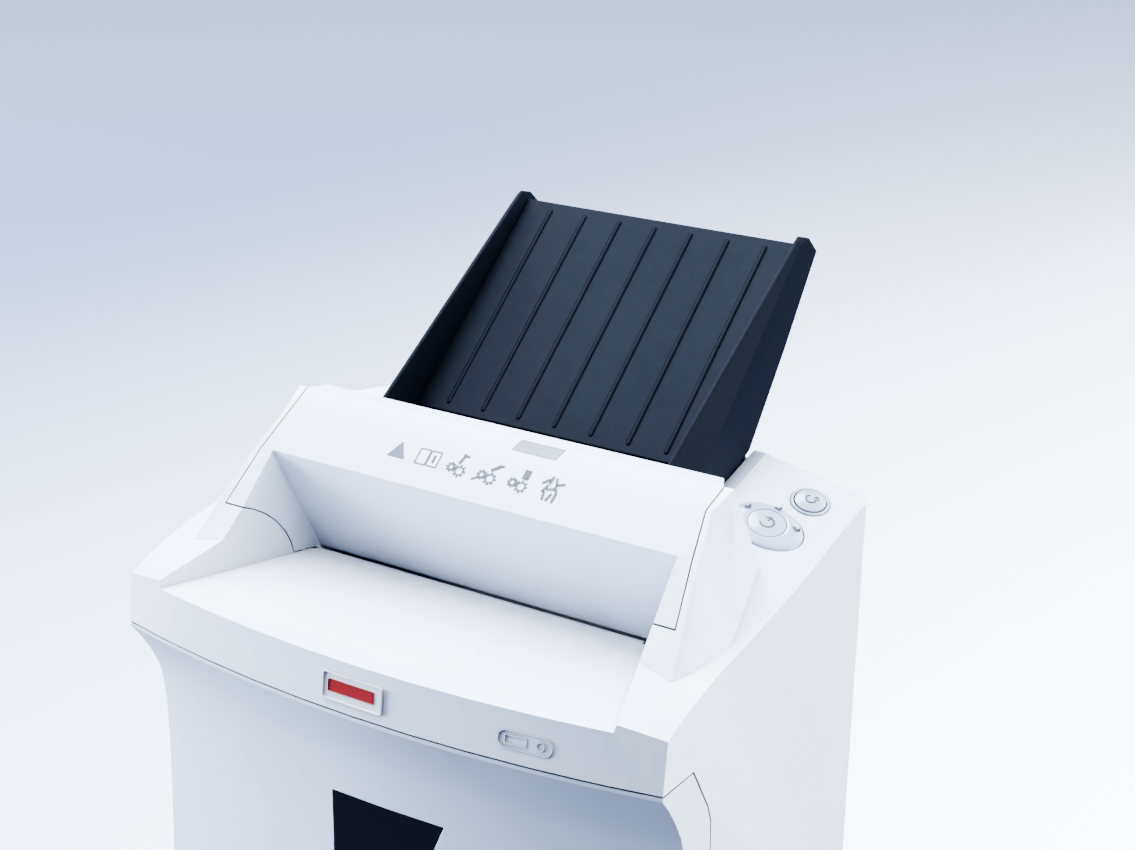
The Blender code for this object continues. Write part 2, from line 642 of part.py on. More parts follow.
def build_drive():
    gear("gear_front", -140.0, CUTTER_FRONT_Y, CUTTER_Z, 21, 2.0, 0.0, SHAFT_R + 0.4, -5, 5, "nylon")
    gear("gear_rear", -140.0, CUTTER_REAR_Y, CUTTER_Z, 21, 2.0, 0.0, SHAFT_R + 0.4, -5, 5, "nylon")
    gear("gear_drive", -153.0, *REAR_SHAFT, 32, 1.5, 0.0, SHAFT_R + 0.4, -4, 4, "nylon")
    idler_phase = meshed_phase(REAR_SHAFT, 32, 0.0, IDLER, 20)
    pinion_phase = meshed_phase(IDLER, 20, idler_phase, MOTOR, 12)
    gear("gear_idler", -153.0, *IDLER, 20, 1.5, idler_phase, 3.4, -4, 4, "nylon")
    rod("idler_pin", (-125.8, *IDLER), (-1, 0, 0), 3.0, 0, 35, 20, "zinc")
    pinion = gear("gear_motor", -153.0, *MOTOR, 12, 1.5, pinion_phase, 2.6, -4, 4, "steel")
    join(pinion, rod("spindle", (-122.5, *MOTOR), (-1, 0, 0), 3.0, 0.0, 35.5, 20))
    set_origin(pinion, -153.0, *MOTOR)
    body = [(0, 30), (MOTOR_R - 3, 30), (MOTOR_R, 33), (MOTOR_R, 80), (MOTOR_R + 1.5, 80), (MOTOR_R + 1.5, 96)]
    body += [(MOTOR_R, 96), (MOTOR_R, 121), (9.0, 121), (9.0, 121.9), (0, 121.9)]
    flat_ends(lathe("motor", (0.0, *MOTOR), (-1, 0, 0), body, 32, "steel"))


def build_feed():
    shaft = rod("feed_shaft", (0.0, FEED_Y, FEED_Z), (1, 0, 0), 4.0, -133.0, 133.0, 20, "steel")
    set_origin(shaft, 0.0, FEED_Y, FEED_Z)
    for x, name in ((-45.0, "left"), (45.0, "right")):
        tyre = ring(
            "feed_roller_" + name, (x, FEED_Y, FEED_Z), (1, 0, 0), 4.35, FEED_ROLLER_R, -14.5, 14.5, 28, "rubber"
        )
        set_origin(tyre, x, FEED_Y, FEED_Z)
    ring("feed_motor", (86.0, FEED_Y, FEED_Z), (1, 0, 0), 4.5, 10.4, -14.0, 14.0, 24, "dark")


# ---------------------------------------------------------------- controls
def build_controls():
    stretch = (1.0, 18.6 / 24.1)
    bezel = panel_disc("power_bezel", POWER_AT, 24.1, -2.2, 1.0, stretch)
    cut(bezel, panel_disc("hole", (159.4, 185.0), 12.4, -6, 6))
    give_material(bezel, "button")
    for name, place, radius in (("power_button", (159.4, 185.0), 12.0), ("reverse_button", REVERSE_AT, 9.8)):
        centre = Vector(on_panel(*place))
        profile = [(0, -16), (3.5, -16), (3.5, -3.4), (radius, -3.4), (radius, 0.9)]
        profile += [(radius - 1.2, 1.9), (radius * 0.6, 2.5), (0, 2.8)]
        obj = lathe(name, tuple(centre), PANEL_NORMAL, profile, 28, "button")
        flat_ends(obj)
        set_origin(obj, *centre)
    centre = Vector(on_panel(*REVERSE_AT))
    ring("reverse_bezel", tuple(centre), PANEL_NORMAL, 10.2, 12.4, -2.5, 0.8, 32, "button")
    board = box("control_board", (136.0, 190.0), (165.0, 236.0), (52.0, 53.6), "board")
    join(board, box("relay", (140.0, 156.0), (205.0, 228.0), (53.0, 66.0)))
    join(board, box("key_one", (151.0, 160.0), (184.0, 194.0), (53.0, 68.5)))
    join(board, box("key_two", (163.0, 172.0), (219.0, 229.0), (53.0, 70.0)))


# ---------------------------------------------------------------- cabinet, bin and castors
def plan_wall(inset, front_y):
    right = [(HALF_WIDTH - inset, front_y)] + rear_corner(CORNER_R - inset)
    return right + [(-x, y) for x, y in right[::-1]]


def build_cabinet():
    outer = plan_wall(0.0, 58.0)
    inner = plan_wall(WALL, 58.0)
    prism("cabinet", outer + inner[::-1], "Z", BASE_TOP + 0.3, SKIRT_Z - 0.6, "white")
    front = [(x, arc_y(x) + 34.0) for x in (-192, -160, -120, -80, -40, 0, 40, 80, 120, 160, 192)]
    plan = front + [(197.0, 58.0)] + rear_corner(CORNER_R - 1.0)
    plan += [(-x, y) for x, y in rear_corner(CORNER_R - 1.0)[::-1]] + [(-197.0, 58.0)]
    prism("base_plate", plan, "Z", BASE_BOTTOM, BASE_TOP, "dark")
    for side, name in ((-1, "left"), (1, "right")):
        box("bin_guide_" + name, sorted((side * 181.6, side * 194.4)), (64, 230), (-427.6, -402), "white_inner")
    louvres = box("rear_cover", (-100.0, 70.0), (BACK_Y + 0.4, 293.0), (-180.0, 50.0), "white")
    for k in range(7):
        z = -8.0 + 7.5 * k
        cut(louvres, box("slot", (-80.0, 50.0), (280.0, 300.0), (z, z + 3.5)))
    inlet = box("mains_inlet", (86.4, 113.6), (271.0, 288.0), (-170.6, -149.4), "black")
    join(inlet, box("flange", (82.0, 118.0), (BACK_Y + 0.4, 288.0), (-174.0, -146.0)))
    cut(inlet, box("pocket", (88.5, 111.5), (273.5, 300.0), (-167.5, -152.0)))
    for x in (93.0, 100.0, 107.0):
        join(inlet, box("pin", (x - 1.0, x + 1.0), (272.5, 284.0), (-162.0, -157.0)))
    frame = box("switch_frame", (91.4, 108.6), (271.0, 288.0), (-137.6, -114.4), "black")
    join(frame, box("flange", (88.0, 112.0), (BACK_Y + 0.4, 288.0), (-141.0, -111.0)))
    cut(frame, box("pocket", (93.4, 106.6), (273.0, 300.0), (-135.6, -116.4)))
    rocker = [(284.0, -134.8), (290.6, -134.2), (288.2, -126.0), (287.6, -117.4), (282.0, -117.2), (280.0, -126.0)]
    key = prism("switch_rocker", rocker, "X", 93.8, 106.2, "dark")
    set_origin(key, 100.0, 283.0, -126.0)


def build_bin():
    rows = [(-1.4, 0.4), (-4.0, 0.5), (-13.0, 8.0), (-25.0, 16.0), (-38.0, 23.0), (-50.0, 26.5), (-70.0, 29.0)]
    rows += [(-110.0, 29.5), (-250.0, 26.0), (BIN_BOTTOM, 24.0)]
    columns = [0.0, 40.0, 80.0, 120.0, 160.0, HALF_WIDTH]
    skin = Skin()
    grid = [[(x, arc_y(x) + depth, z) for x in columns] for z, depth in rows]
    for upper, lower in zip(grid, grid[1:]):
        for i in range(len(columns) - 1):
            skin.both(upper[i], lower[i], lower[i + 1], upper[i + 1])
    side = [row[-1] for row in grid]
    rear = [(33.4, -1.2), (40.9, -13.4), (51.9, -31.4), (55.9, -42.3), (56.9, -62.0), (56.9, BIN_BOTTOM)]
    skin.both(*side, *[(HALF_WIDTH, y, z) for y, z in rear[::-1]])
    front = skin.shell("bin_front", WALL, "white", (0, -1, 0))
    window = [(-41.0, -76.0), (44.0, -75.0), (37.0, -92.0), (32.0, -120.0), (30.0, -290.0), (-42.0, -290.0)]
    cut(front, prism("window", window, "Y", -40.0, 40.0))
    centre = (-3.0, -185.0)
    pane = []
    for x, z in window:
        pane.append((x - 0.5 * (1 if x > centre[0] else -1), z - 0.6 * (1 if z > centre[1] else -1)))
    prism("bin_window", pane, "Y", 8.4, 10.4, "smoke")
    half = BIN_HALF
    arc = [(x, arc_y(x) + 33.6) for x in (-half, -140, -100, -60, -20, 20, 60, 100, 140, half)]
    radius = 38.0
    centre_y = BIN_BACK - radius

    def corner(inset):
        points = []
        for k in range(6):
            a = math.pi / 2 * k / 5
            r = radius - inset
            points.append((half - radius + r * math.cos(a), centre_y + r * math.sin(a)))
        return points

    outer = arc + corner(0.0) + [(-x, y) for x, y in corner(0.0)[::-1]]
    body = prism("bin_body", outer, "Z", BIN_BOTTOM, BIN_TOP)
    hollow = [(x * (half - WALL) / half, y + WALL) for x, y in arc] + corner(WALL)
    hollow += [(-x, y) for x, y in corner(WALL)[::-1]]
    cut(body, prism("hollow", hollow, "Z", BIN_BOTTOM + WALL, BIN_TOP + 20))
    cut(body, box("window", (-36.0, 26.0), (0.0, 40.0), (-284.0, -84.0)))
    give_material(body, "white_inner")


def build_castor(name, x, y):
    """A swivel castor: plate, fork with its pins, and wheel. It trails to the back."""
    top = BASE_BOTTOM - 0.3
    plate = box("castor_plate_" + name, (x - 20, x + 20), (y - 20, y + 20), (top - 2.5, top))
    cut(plate, rod("bore", (x, y, top - 10), (0, 0, 1), 3.06, 0, 20, 20))
    give_material(plate, "zinc")
    wheel_y = y + CASTOR_TRAIL
    wheel_z = FLOOR_Z + CASTOR_WHEEL_R
    crown = top - 3.0
    fork = rod("castor_fork_" + name, (x, y, crown - 2.6), (0, 0, 1), 14.0, 0, 2.4, 24)
    join(fork, rod("kingpin", (x, y, crown - 1.0), (0, 0, 1), 3.0, 0, 3.3, 20))
    leg = [(y - 9, crown - 0.8), (y + 15, crown - 0.8), (wheel_y + 6, wheel_z + 2), (wheel_y + 3, wheel_z - 5)]
    leg += [(wheel_y - 4, wheel_z - 5), (y - 4, wheel_z + 6)]
    for side in (-1, 1):
        join(fork, prism("leg", leg, "X", *sorted((x + side * 8.6, x + side * 11.0))))
    join(fork, rod("axle", (x, wheel_y, wheel_z), (1, 0, 0), 2.5, -10.4, 10.4, 16))
    give_material(fork, "zinc")
    set_origin(fork, x, y, crown)
    profile = [(2.56, -6.5), (CASTOR_WHEEL_R - 2, -6.5), (CASTOR_WHEEL_R, -4.5), (CASTOR_WHEEL_R, 4.5)]
    profile += [(CASTOR_WHEEL_R - 2, 6.5), (2.56, 6.5)]
    wheel = lathe("castor_wheel_" + name, (x, wheel_y, wheel_z), (1, 0, 0), profile, 24, "rubber", closed=True)
    flat_ends(wheel)
    set_origin(wheel, x, wheel_y, wheel_z)
    wheel.parent = fork
    wheel.matrix_parent_inverse = Matrix.Translation(-fork.location)


def main():
    for obj in list(bpy.data.objects):
        bpy.data.objects.remove(obj)
    build_head_cover()
    build_hood()
    build_hopper()
    build_support()
    build_cutting_unit()
    build_drive()
    build_feed()
    build_controls()
    build_cabinet()
    build_bin()
    for name, x, y in (
        ("front_left", -160.0, 60.0),
        ("front_right", 160.0, 60.0),
        ("rear_left", -140.0, 232.0),
        ("rear_right", 140.0, 232.0),
    ):
        build_castor(name, x, y)


main()
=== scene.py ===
import logging
import math
from dataclasses import dataclass
from enum import Enum
from typing import Callable, Iterable, Optional, Sequence

import bpy
from mathutils import Matrix, Vector
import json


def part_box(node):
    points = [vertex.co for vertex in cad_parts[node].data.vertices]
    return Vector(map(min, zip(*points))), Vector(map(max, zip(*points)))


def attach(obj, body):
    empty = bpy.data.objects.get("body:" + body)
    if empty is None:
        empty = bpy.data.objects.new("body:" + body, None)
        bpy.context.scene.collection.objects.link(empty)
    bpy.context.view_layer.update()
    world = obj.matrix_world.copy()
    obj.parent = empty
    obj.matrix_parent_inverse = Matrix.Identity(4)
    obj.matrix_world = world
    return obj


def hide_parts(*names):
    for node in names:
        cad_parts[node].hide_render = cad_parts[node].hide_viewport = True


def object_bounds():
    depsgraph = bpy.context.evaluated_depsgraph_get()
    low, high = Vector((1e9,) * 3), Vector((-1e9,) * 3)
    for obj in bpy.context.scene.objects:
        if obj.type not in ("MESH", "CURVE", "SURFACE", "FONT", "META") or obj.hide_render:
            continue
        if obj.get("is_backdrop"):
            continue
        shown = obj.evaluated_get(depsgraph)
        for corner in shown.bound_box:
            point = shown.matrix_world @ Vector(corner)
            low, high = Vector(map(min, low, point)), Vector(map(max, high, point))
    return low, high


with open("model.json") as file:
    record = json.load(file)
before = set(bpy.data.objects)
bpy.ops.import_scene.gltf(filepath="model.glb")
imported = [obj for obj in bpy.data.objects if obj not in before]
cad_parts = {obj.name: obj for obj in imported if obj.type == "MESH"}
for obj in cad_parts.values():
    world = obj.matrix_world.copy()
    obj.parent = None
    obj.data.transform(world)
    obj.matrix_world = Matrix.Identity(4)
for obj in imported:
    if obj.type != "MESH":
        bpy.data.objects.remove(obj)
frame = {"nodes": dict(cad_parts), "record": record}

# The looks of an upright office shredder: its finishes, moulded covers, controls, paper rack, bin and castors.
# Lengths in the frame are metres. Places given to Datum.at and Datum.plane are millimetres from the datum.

LOG = logging.getLogger("shredder")
Colour = tuple[float, float, float]
Place = tuple[float, float, float]
MM = 0.001
INK_DEPTH = 0.00022
INK_LINE = 0.0010
MARK_DEPTH = 0.0004
MARK_EDGE = 0.00005


class Side(Enum):
    """Left and right as seen from the front."""

    LEFT = -1
    RIGHT = 1


class Grain(Enum):
    """How a moulded surface was textured in its tool."""

    SATIN = (0.00055, 0.35)
    FINE = (0.0008, 0.5)
    COARSE = (0.0014, 0.8)
    POLISHED = (0.004, 0.06)


# ---------------------------------------------------------------- shared shader groups
class ShaderGroups:
    """The surface effects that several finishes share, each built once as a node group."""

    def __init__(self) -> None:
        """Build every group."""
        self.grain = self._moulded_grain()
        self.drift = self._tone_drift()
        self.dust = self._settled_dust()
        self.lines = self._drawn_lines()
        self.rub = self._rubbed_edges()
        self.crevice = self._crevice_shade()

    @staticmethod
    def _start(name: str, inputs: Sequence[tuple[str, str, object]], outputs: Sequence[tuple[str, str]]) -> tuple:
        """Make an empty group with named sockets.

        Args:
            name: The group's name.
            inputs: Name, socket type and default of each input.
            outputs: Name and socket type of each output.

        Returns:
            The tree, its input node and its output node.
        """
        tree = bpy.data.node_groups.new(name, "ShaderNodeTree")
        for label, kind, default in inputs:
            socket = tree.interface.new_socket(name=label, in_out="INPUT", socket_type=kind)
            if default is not None:
                socket.default_value = default
        for label, kind in outputs:
            tree.interface.new_socket(name=label, in_out="OUTPUT", socket_type=kind)
        return tree, tree.nodes.new("NodeGroupInput"), tree.nodes.new("NodeGroupOutput")

    @staticmethod
    def _math(tree: bpy.types.NodeTree, operation: str, first: object, second: object) -> bpy.types.NodeSocket:
        """Add a Math node.

        Args:
            tree: The tree to add to.
            operation: Blender's name of the operation.
            first: A socket or a number.
            second: A socket or a number.

        Returns:
            The node's output.
        """
        node = tree.nodes.new("ShaderNodeMath")
        node.operation = operation
        for index, value in enumerate((first, second)):
            if isinstance(value, bpy.types.NodeSocket):
                tree.links.new(value, node.inputs[index])
            else:
                node.inputs[index].default_value = float(value)
        return node.outputs[0]

    def _noise(
        self, tree: bpy.types.NodeTree, vector: bpy.types.NodeSocket, scale: object, detail: float,
    ) -> bpy.types.NodeSocket:
        """Add a Noise node.

        Args:
            tree: The tree to add to.
            vector: Where the pattern is read.
            scale: A socket or a number.
            detail: How many octaves.

        Returns:
            The node's factor output.
        """
        node = tree.nodes.new("ShaderNodeTexNoise")
        tree.links.new(vector, node.inputs["Vector"])
        if isinstance(scale, bpy.types.NodeSocket):
            tree.links.new(scale, node.inputs["Scale"])
        else:
            node.inputs["Scale"].default_value = float(scale)
        node.inputs["Detail"].default_value = detail
        return node.outputs["Fac"]

    def _moulded_grain(self) -> bpy.types.NodeTree:
        """Build a group that makes the pebbled texture of a moulded skin.

        Returns:
            The group, with a Height and a Mottle output.
        """
        tree, source, result = self._start(
            "moulded_grain",
            [("Coordinate", "NodeSocketVector", None), ("Grain Size", "NodeSocketFloat", 0.0008)],
            [("Height", "NodeSocketFloat"), ("Mottle", "NodeSocketFloat")],
        )
        scale = self._math(tree, "DIVIDE", 1.0, source.outputs["Grain Size"])
        cells = tree.nodes.new("ShaderNodeTexVoronoi")
        cells.feature = "SMOOTH_F1"
        tree.links.new(source.outputs["Coordinate"], cells.inputs["Vector"])
        tree.links.new(scale, cells.inputs["Scale"])
        fine = self._noise(tree, source.outputs["Coordinate"], scale, 2.0)
        height = self._math(tree, "ADD", self._math(tree, "MULTIPLY", cells.outputs["Distance"], -0.6), fine)
        tree.links.new(height, result.inputs["Height"])
        tree.links.new(self._noise(tree, source.outputs["Coordinate"], 14.0, 4.0), result.inputs["Mottle"])
        return tree

    def _tone_drift(self) -> bpy.types.NodeTree:
        """Build a group that lets a colour drift a little over a large surface.

        Returns:
            The group, with a Colour output.
        """
        tree, source, result = self._start(
            "tone_drift",
            [
                ("Coordinate", "NodeSocketVector", None), ("Colour", "NodeSocketColor", (0.8, 0.8, 0.8, 1.0)),
                ("Shade", "NodeSocketColor", (0.7, 0.7, 0.7, 1.0)), ("Spread", "NodeSocketFloat", 0.5),
            ],
            [("Colour", "NodeSocketColor")],
        )
        wide = self._noise(tree, source.outputs["Coordinate"], 6.0, 3.0)
        close = self._noise(tree, source.outputs["Coordinate"], 90.0, 2.0)
        both = self._math(
            tree, "ADD", self._math(tree, "MULTIPLY", wide, 0.75), self._math(tree, "MULTIPLY", close, 0.25),
        )
        share = self._math(tree, "MULTIPLY", both, source.outputs["Spread"])
        mix = tree.nodes.new("ShaderNodeMix")
        mix.data_type = "RGBA"
        tree.links.new(share, mix.inputs["Factor"])
        tree.links.new(source.outputs["Colour"], mix.inputs[6])
        tree.links.new(source.outputs["Shade"], mix.inputs[7])
        tree.links.new(mix.outputs[2], result.inputs["Colour"])
        return tree

    def _settled_dust(self) -> bpy.types.NodeTree:
        """Build a group that puts thin dust on what faces up.

        Returns:
            The group, with a Colour and a Mask output.
        """
        tree, source, result = self._start(
            "settled_dust",
            [
                ("Coordinate", "NodeSocketVector", None), ("Colour", "NodeSocketColor", (0.8, 0.8, 0.8, 1.0)),
                ("Dust", "NodeSocketColor", (0.6, 0.6, 0.58, 1.0)), ("Amount", "NodeSocketFloat", 0.1),
            ],
            [("Colour", "NodeSocketColor"), ("Mask", "NodeSocketFloat")],
        )
        geometry = tree.nodes.new("ShaderNodeNewGeometry")
        split = tree.nodes.new("ShaderNodeSeparateXYZ")
        tree.links.new(geometry.outputs["Normal"], split.inputs[0])
        upward = self._math(tree, "MAXIMUM", split.outputs["Z"], 0.0)
        specks = self._noise(tree, source.outputs["Coordinate"], 160.0, 5.0)
        drifts = self._noise(tree, source.outputs["Coordinate"], 11.0, 4.0)
        cover = self._math(tree, "MULTIPLY", self._math(tree, "MULTIPLY", specks, drifts), 3.0)
        mask = self._math(tree, "MULTIPLY", self._math(tree, "MULTIPLY", cover, upward), source.outputs["Amount"])
        mask = self._math(tree, "MINIMUM", mask, 1.0)
        mix = tree.nodes.new("ShaderNodeMix")
        mix.data_type = "RGBA"
        tree.links.new(mask, mix.inputs["Factor"])
        tree.links.new(source.outputs["Colour"], mix.inputs[6])
        tree.links.new(source.outputs["Dust"], mix.inputs[7])
        tree.links.new(mix.outputs[2], result.inputs["Colour"])
        tree.links.new(mask, result.inputs["Mask"])
        return tree

    def _drawn_lines(self) -> bpy.types.NodeTree:
        """Build a group that makes the fine parallel lines of rolled, ground or turned metal.

        Returns:
            The group, with a Height and a Tone output.
        """
        tree, source, result = self._start(
            "drawn_lines",
            [("Coordinate", "NodeSocketVector", None), ("Stretch", "NodeSocketVector", (1.0, 1.0, 1.0))],
            [("Height", "NodeSocketFloat"), ("Tone", "NodeSocketFloat")],
        )
        scaled = tree.nodes.new("ShaderNodeVectorMath")
        scaled.operation = "MULTIPLY"
        tree.links.new(source.outputs["Coordinate"], scaled.inputs[0])
        tree.links.new(source.outputs["Stretch"], scaled.inputs[1])
        tree.links.new(self._noise(tree, scaled.outputs[0], 900.0, 3.0), result.inputs["Height"])
        tree.links.new(self._noise(tree, scaled.outputs[0], 220.0, 5.0), result.inputs["Tone"])
        return tree

    def _rubbed_edges(self) -> bpy.types.NodeTree:
        """Build a group that finds the outer corners, broken up as handling leaves them.

        Returns:
            The group, with a Mask output.
        """
        tree, source, result = self._start(
            "rubbed_edges",
            [("Coordinate", "NodeSocketVector", None), ("Amount", "NodeSocketFloat", 0.3)],
            [("Mask", "NodeSocketFloat")],
        )
        geometry = tree.nodes.new("ShaderNodeNewGeometry")
        raised = self._math(tree, "SUBTRACT", geometry.outputs["Pointiness"], 0.52)
        steep = self._math(tree, "MULTIPLY", self._math(tree, "MAXIMUM", raised, 0.0), 9.0)
        broken = self._math(tree, "MULTIPLY", steep, self._noise(tree, source.outputs["Coordinate"], 120.0, 4.0))
        mask = self._math(tree, "MINIMUM", self._math(tree, "MULTIPLY", broken, source.outputs["Amount"]), 1.0)
        tree.links.new(mask, result.inputs["Mask"])
        return tree

    def _crevice_shade(self) -> bpy.types.NodeTree:
        """Build a group that paints shade into a colour: dark painted shadow in seams and a cool painted shade in deep
        corners.

        Returns:
            The group, with a Colour output.
        """
        tree, source, result = self._start(
            "crevice_shade",
            # the dark colour input is the colour of the painted shade
            [
                ("Coordinate", "NodeSocketVector", None), ("Colour", "NodeSocketColor", (0.8, 0.8, 0.8, 1.0)),
                ("Painted Shade", "NodeSocketColor", (0.014, 0.018, 0.030, 1.0)), ("Seam", "NodeSocketFloat", 0.9),
                ("Corner", "NodeSocketFloat", 0.5),
            ],
            [("Colour", "NodeSocketColor")],
        )
        shares = []
        # painted shade: a short occlusion reach darkens seams and a long one darkens deep corners
        for reach, amount, power in ((0.0040, "Seam", 1.2), (0.095, "Corner", 1.9)):
            node = tree.nodes.new("ShaderNodeAmbientOcclusion")
            node.samples = 8
            node.inputs["Distance"].default_value = reach
            closed = self._math(tree, "SUBTRACT", 1.0, node.outputs["AO"])
            wide = self._math(tree, "MINIMUM", self._math(tree, "MULTIPLY", closed, 1.5), 1.0)
            shares.append(
                self._math(tree, "MULTIPLY", self._math(tree, "POWER", wide, power), source.outputs[amount])
            )
        # noise makes the painted shade uneven
        uneven = self._math(
            tree, "ADD", 0.8,
            self._math(tree, "MULTIPLY", self._noise(tree, source.outputs["Coordinate"], 45.0, 3.0), 0.4),
        )
        share = self._math(tree, "MULTIPLY", self._math(tree, "MAXIMUM", shares[0], shares[1]), uneven)
        mix = tree.nodes.new("ShaderNodeMix")
        mix.data_type = "RGBA"
        tree.links.new(self._math(tree, "MINIMUM", share, 1.0), mix.inputs["Factor"])
        tree.links.new(source.outputs["Colour"], mix.inputs[6])
        tree.links.new(source.outputs["Painted Shade"], mix.inputs[7])
        tree.links.new(mix.outputs[2], result.inputs["Colour"])
        return tree


# ---------------------------------------------------------------- finishes
class Finish:
    """A blank material with a Principled shader, and the small steps that wire it."""

    def __init__(self, name: str) -> None:
        """Make the material.

        Args:
            name: The material's name.
        """
        self.material = bpy.data.materials.new(name)
        self.material.use_nodes = True
        self.tree = self.material.node_tree
        self.shader = self.tree.nodes["Principled BSDF"]
        self.coordinate = self.tree.nodes.new("ShaderNodeTexCoord").outputs["Object"]

    def group(self, tree: bpy.types.NodeTree, **values: object) -> bpy.types.Node:
        """Place a shared group.

        Args:
            tree: The group.
            **values: Input name, with _ for a space, and its number, colour or socket.

        Returns:
            The group node.
        """
        node = self.tree.nodes.new("ShaderNodeGroup")
        node.node_tree = tree
        self.tree.links.new(self.coordinate, node.inputs["Coordinate"])
        for key, value in values.items():
            socket = node.inputs[key.replace("_", " ")]
            if isinstance(value, bpy.types.NodeSocket):
                self.tree.links.new(value, socket)
            else:
                socket.default_value = value
        return node

    def spread(self, value: bpy.types.NodeSocket, low: float, high: float, target: str) -> None:
        """Feed a mask to one of the shader's inputs between two values.

        Args:
            value: The mask.
            low: The input's value where the mask is 0.3.
            high: Its value where the mask is 0.7.
            target: The input's name.
        """
        ranged = self.tree.nodes.new("ShaderNodeMapRange")
        ranged.inputs["From Min"].default_value = 0.3
        ranged.inputs["From Max"].default_value = 0.7
        ranged.inputs["To Min"].default_value = low
        ranged.inputs["To Max"].default_value = high
        self.tree.links.new(value, ranged.inputs["Value"])
        self.tree.links.new(ranged.outputs["Result"], self.shader.inputs[target])

    def bump(self, height: bpy.types.NodeSocket, strength: float, distance: float) -> None:
        """Turn a height into the shader's normal.

        Args:
            height: The height, as a mask.
            strength: How much of the bump shows.
            distance: How far the height reaches, in metres.
        """
        node = self.tree.nodes.new("ShaderNodeBump")
        node.inputs["Strength"].default_value = strength
        node.inputs["Distance"].default_value = distance
        self.tree.links.new(height, node.inputs["Height"])
        self.tree.links.new(node.outputs["Normal"], self.shader.inputs["Normal"])

    def blend(self, share: bpy.types.NodeSocket, first: object, second: object) -> bpy.types.NodeSocket:
        """Mix two colours.

        Args:
            share: How much of the second.
            first: A colour or a socket.
            second: A colour or a socket.

        Returns:
            The mixed colour.
        """
        mix = self.tree.nodes.new("ShaderNodeMix")
        mix.data_type = "RGBA"
        self.tree.links.new(share, mix.inputs["Factor"])
        for index, value in ((6, first), (7, second)):
            if isinstance(value, bpy.types.NodeSocket):
                self.tree.links.new(value, mix.inputs[index])
            else:
                mix.inputs[index].default_value = (*value, 1.0)
        return mix.outputs[2]


@dataclass(frozen=True)
class MouldedPlastic:
    """Injection moulded plastic with a tool texture, a drifting tone, rubbed corners and thin dust, and, where seam is
    set, painted shade in its seams and deep corners.
    """

    name: str
    colour: Colour
    shade: Colour
    roughness: float
    grain: Grain
    dust: float = 0.1
    rub: float = 0.3
    rub_colour: Colour = (0.9, 0.92, 0.95)
    coat: float = 0.0
    gloss: float = 0.5
    # seam and corner: how much painted shade darkens the seams and the deep corners
    seam: float = 0.0
    corner: float = 0.0

    def material(self, groups: ShaderGroups) -> bpy.types.Material:
        """Build the material from the shared groups.

        Args:
            groups: The shared effects.

        Returns:
            The finished material.
        """
        finish = Finish(self.name)
        size, strength = self.grain.value
        grain = finish.group(groups.grain, Grain_Size=size)
        drift = finish.group(groups.drift, Colour=(*self.colour, 1.0), Shade=(*self.shade, 1.0), Spread=0.5)
        rub = finish.group(groups.rub, Amount=self.rub)
        worn = finish.blend(rub.outputs["Mask"], drift.outputs["Colour"], self.rub_colour)
        dust = finish.group(groups.dust, Colour=worn, Dust=(0.72, 0.73, 0.74, 1.0), Amount=self.dust)
        colour = dust.outputs["Colour"]
        # painted shade: seams and deep corners are darkened as shadow would fall in them
        if self.seam > 0.0:
            colour = finish.group(groups.crevice, Colour=colour, Seam=self.seam, Corner=self.corner).outputs["Colour"]
        finish.tree.links.new(colour, finish.shader.inputs["Base Color"])
        finish.spread(grain.outputs["Mottle"], self.roughness - 0.05, self.roughness + 0.05, "Roughness")
        finish.bump(grain.outputs["Height"], strength, 0.00004)
        finish.shader.inputs["Coat Weight"].default_value = self.coat
        finish.shader.inputs["Coat Roughness"].default_value = 0.12
        finish.shader.inputs["Specular IOR Level"].default_value = self.gloss
        return finish.material


@dataclass(frozen=True)
class WorkedMetal:
    """Metal with the lines of its rolling, grinding or turning."""

    name: str
    colour: Colour
    shade: Colour
    roughness: float
    stretch: Place = (0.05, 1.0, 1.0)
    dust: float = 0.05

    def material(self, groups: ShaderGroups) -> bpy.types.Material:
        """Build the material from the shared groups.

        Args:
            groups: The shared effects.

        Returns:
            The finished material.
        """
        finish = Finish(self.name)
        lines = finish.group(groups.lines, Stretch=self.stretch)
        tone = finish.blend(lines.outputs["Tone"], self.colour, self.shade)
        dust = finish.group(groups.dust, Colour=tone, Dust=(0.5, 0.5, 0.49, 1.0), Amount=self.dust)
        finish.tree.links.new(dust.outputs["Colour"], finish.shader.inputs["Base Color"])
        finish.shader.inputs["Metallic"].default_value = 1.0
        finish.spread(lines.outputs["Tone"], self.roughness - 0.08, self.roughness + 0.1, "Roughness")
        finish.bump(lines.outputs["Height"], 0.25, 0.00003)
        return finish.material


@dataclass(frozen=True)
class MouldedRubber:
    """Matt rubber with a greyed bloom on its corners."""

    name: str
    colour: Colour = (0.028, 0.028, 0.031)
    bloom: Colour = (0.12, 0.12, 0.125)

    def material(self, groups: ShaderGroups) -> bpy.types.Material:
        """Build the material from the shared groups.

        Args:
            groups: The shared effects.

        Returns:
            The finished material.
        """
        finish = Finish(self.name)
        grain = finish.group(groups.grain, Grain_Size=0.0011)
        rub = finish.group(groups.rub, Amount=0.8)
        worn = finish.blend(rub.outputs["Mask"], self.colour, self.bloom)
        dust = finish.group(groups.dust, Colour=worn, Dust=(0.35, 0.34, 0.33, 1.0), Amount=0.35)
        finish.tree.links.new(dust.outputs["Colour"], finish.shader.inputs["Base Color"])
        finish.spread(grain.outputs["Mottle"], 0.72, 0.92, "Roughness")
        finish.bump(grain.outputs["Height"], 0.8, 0.00008)
        return finish.material


